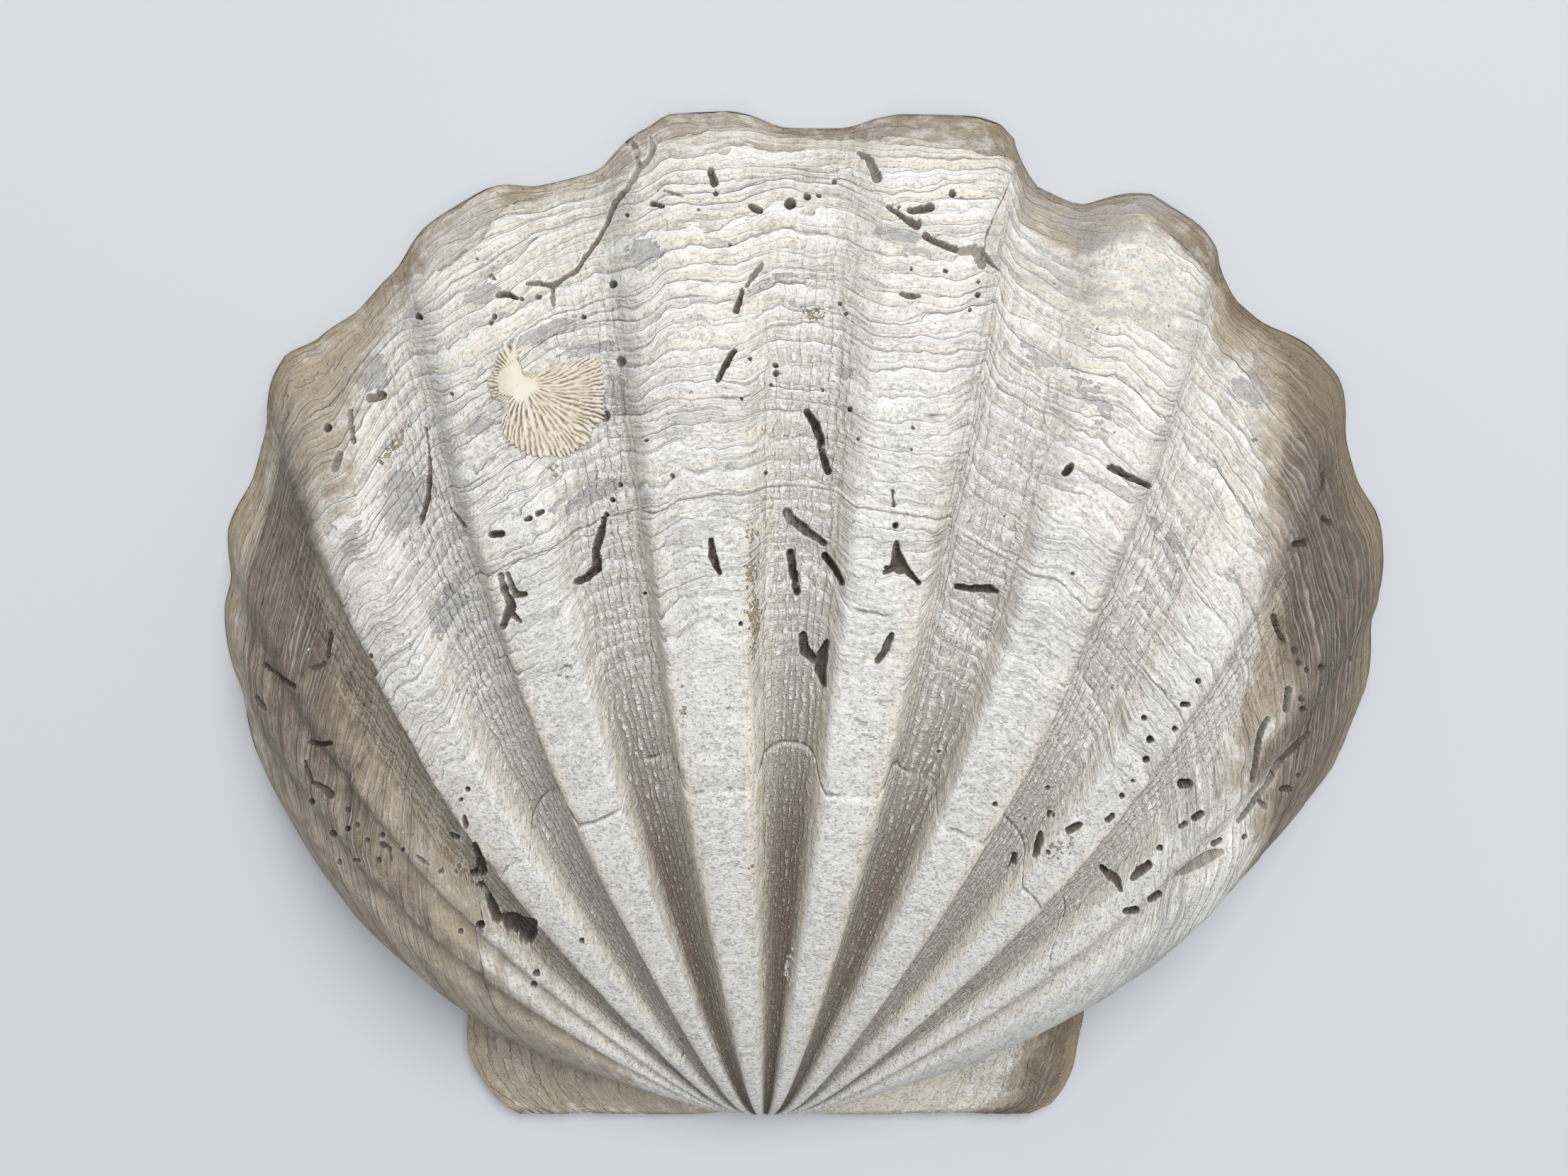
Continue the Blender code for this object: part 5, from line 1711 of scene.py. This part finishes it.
def valve_hollow_finish(groups):
    material, tree, shader = new_finish("smooth_hollow_shell", SMOOTH)
    do = Sums(tree)
    bearing, line = net_place(tree, do)
    flat = do.group(groups.unrolled, Bearing=bearing, Line=line)
    bands = streaks(do, groups, flat, "hollow_bands")
    mottle = grains(do, groups, "hollow_mottle")
    coats = Coats(do, HOLLOW_WHITE)
    tanned = do.times(do.mask("hollow_tan", mottle), do.mask("hollow_tan_from", line))
    coats.lay(HOLLOW_TAN, tanned, LAID["hollow_tan"])
    coats.lay(COOL_GREY, do.mask("hollow_bands", bands), LAID["hollow_bands"])
    tree.links.new(coats.colour, shader.inputs["Base Color"])
    bumped(tree, shader, do.add(do.times(grains(do, groups, "hollow_grain"), 0.03), do.times(bands, 0.05)))
    return material


def barnacle_finish(groups):
    material, tree, shader = new_finish("chalky_barnacle_base", ROUGH)
    do = Sums(tree)
    mottle = grains(do, groups, "base_mottle")
    coats = Coats(do, BASE_CREAM)
    coats.lay(BONE, do.mask("base_mottle", mottle), LAID["base_mottle"])
    # Painted shade down the grooves between the ridges
    coats.lay(BASE_GROOVE, do.mask("groove", do.field("groove")), do.mask("groove_grain", mottle))
    tree.links.new(coats.colour, shader.inputs["Base Color"])
    bumped(tree, shader, do.times(grains(do, groups, "grain"), 0.05))
    return material


# The stage: floor in metres, and soft light from above the far right
FLOOR_HALF = 0.9
FLOOR_GAP = 0.00003
KEY_PLACE = (0.24, 0.46, 0.92)
KEY_SIZE = 0.80
KEY_POWER = 9.25
SKY = (0.93, 0.96, 1.0, 1.0)
SKY_STRENGTH = 0.46


def make_floor():
    mesh = bpy.data.meshes.new("floor")
    plate = bmesh.new()
    bmesh.ops.create_grid(plate, x_segments=1, y_segments=1, size=FLOOR_HALF)
    plate.to_mesh(mesh)
    plate.free()
    material, _, shader = new_finish("pale_floor", FLOOR_ROUGHNESS)
    shader.inputs["Base Color"].default_value = FLOOR_PALE
    mesh.materials.append(material)
    floor = in_scene("floor", mesh)
    floor.location.z = -FLOOR_GAP


def make_light():
    light = bpy.data.lights.new("key_light", "AREA")
    light.shape = "DISK"
    light.size = KEY_SIZE
    light.energy = KEY_POWER
    lamp = in_scene("key_light", light)
    lamp.location = KEY_PLACE
    lamp.rotation_euler = (-Vector(KEY_PLACE)).to_track_quat("-Z", "Y").to_euler()
    world = bpy.data.worlds.new("soft_sky")
    world.use_nodes = True
    sky = world.node_tree.nodes["Background"]
    sky.inputs["Color"].default_value = SKY
    sky.inputs["Strength"].default_value = SKY_STRENGTH
    bpy.context.scene.world = world
    bpy.context.scene.view_settings.view_transform = "Standard"


def make_camera():
    data = bpy.data.cameras.new("camera")
    data.sensor_width = SENSOR
    data.lens = LENS
    camera = in_scene("camera", data)
    camera.location = CAMERA_PLACE
    camera.rotation_euler = (math.radians(-CAMERA_TILT), 0.0, 0.0)
    bpy.context.scene.camera = camera


groups = Groups()
valve = make_valve([valve_outside_finish(groups), valve_hollow_finish(groups)])
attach(valve, "root")
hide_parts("valve")
base = make_barnacle_base(valve, barnacle_finish(groups))
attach(base, "root")
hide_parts("encrusting_barnacle_base")
make_floor()
make_light()
make_camera()
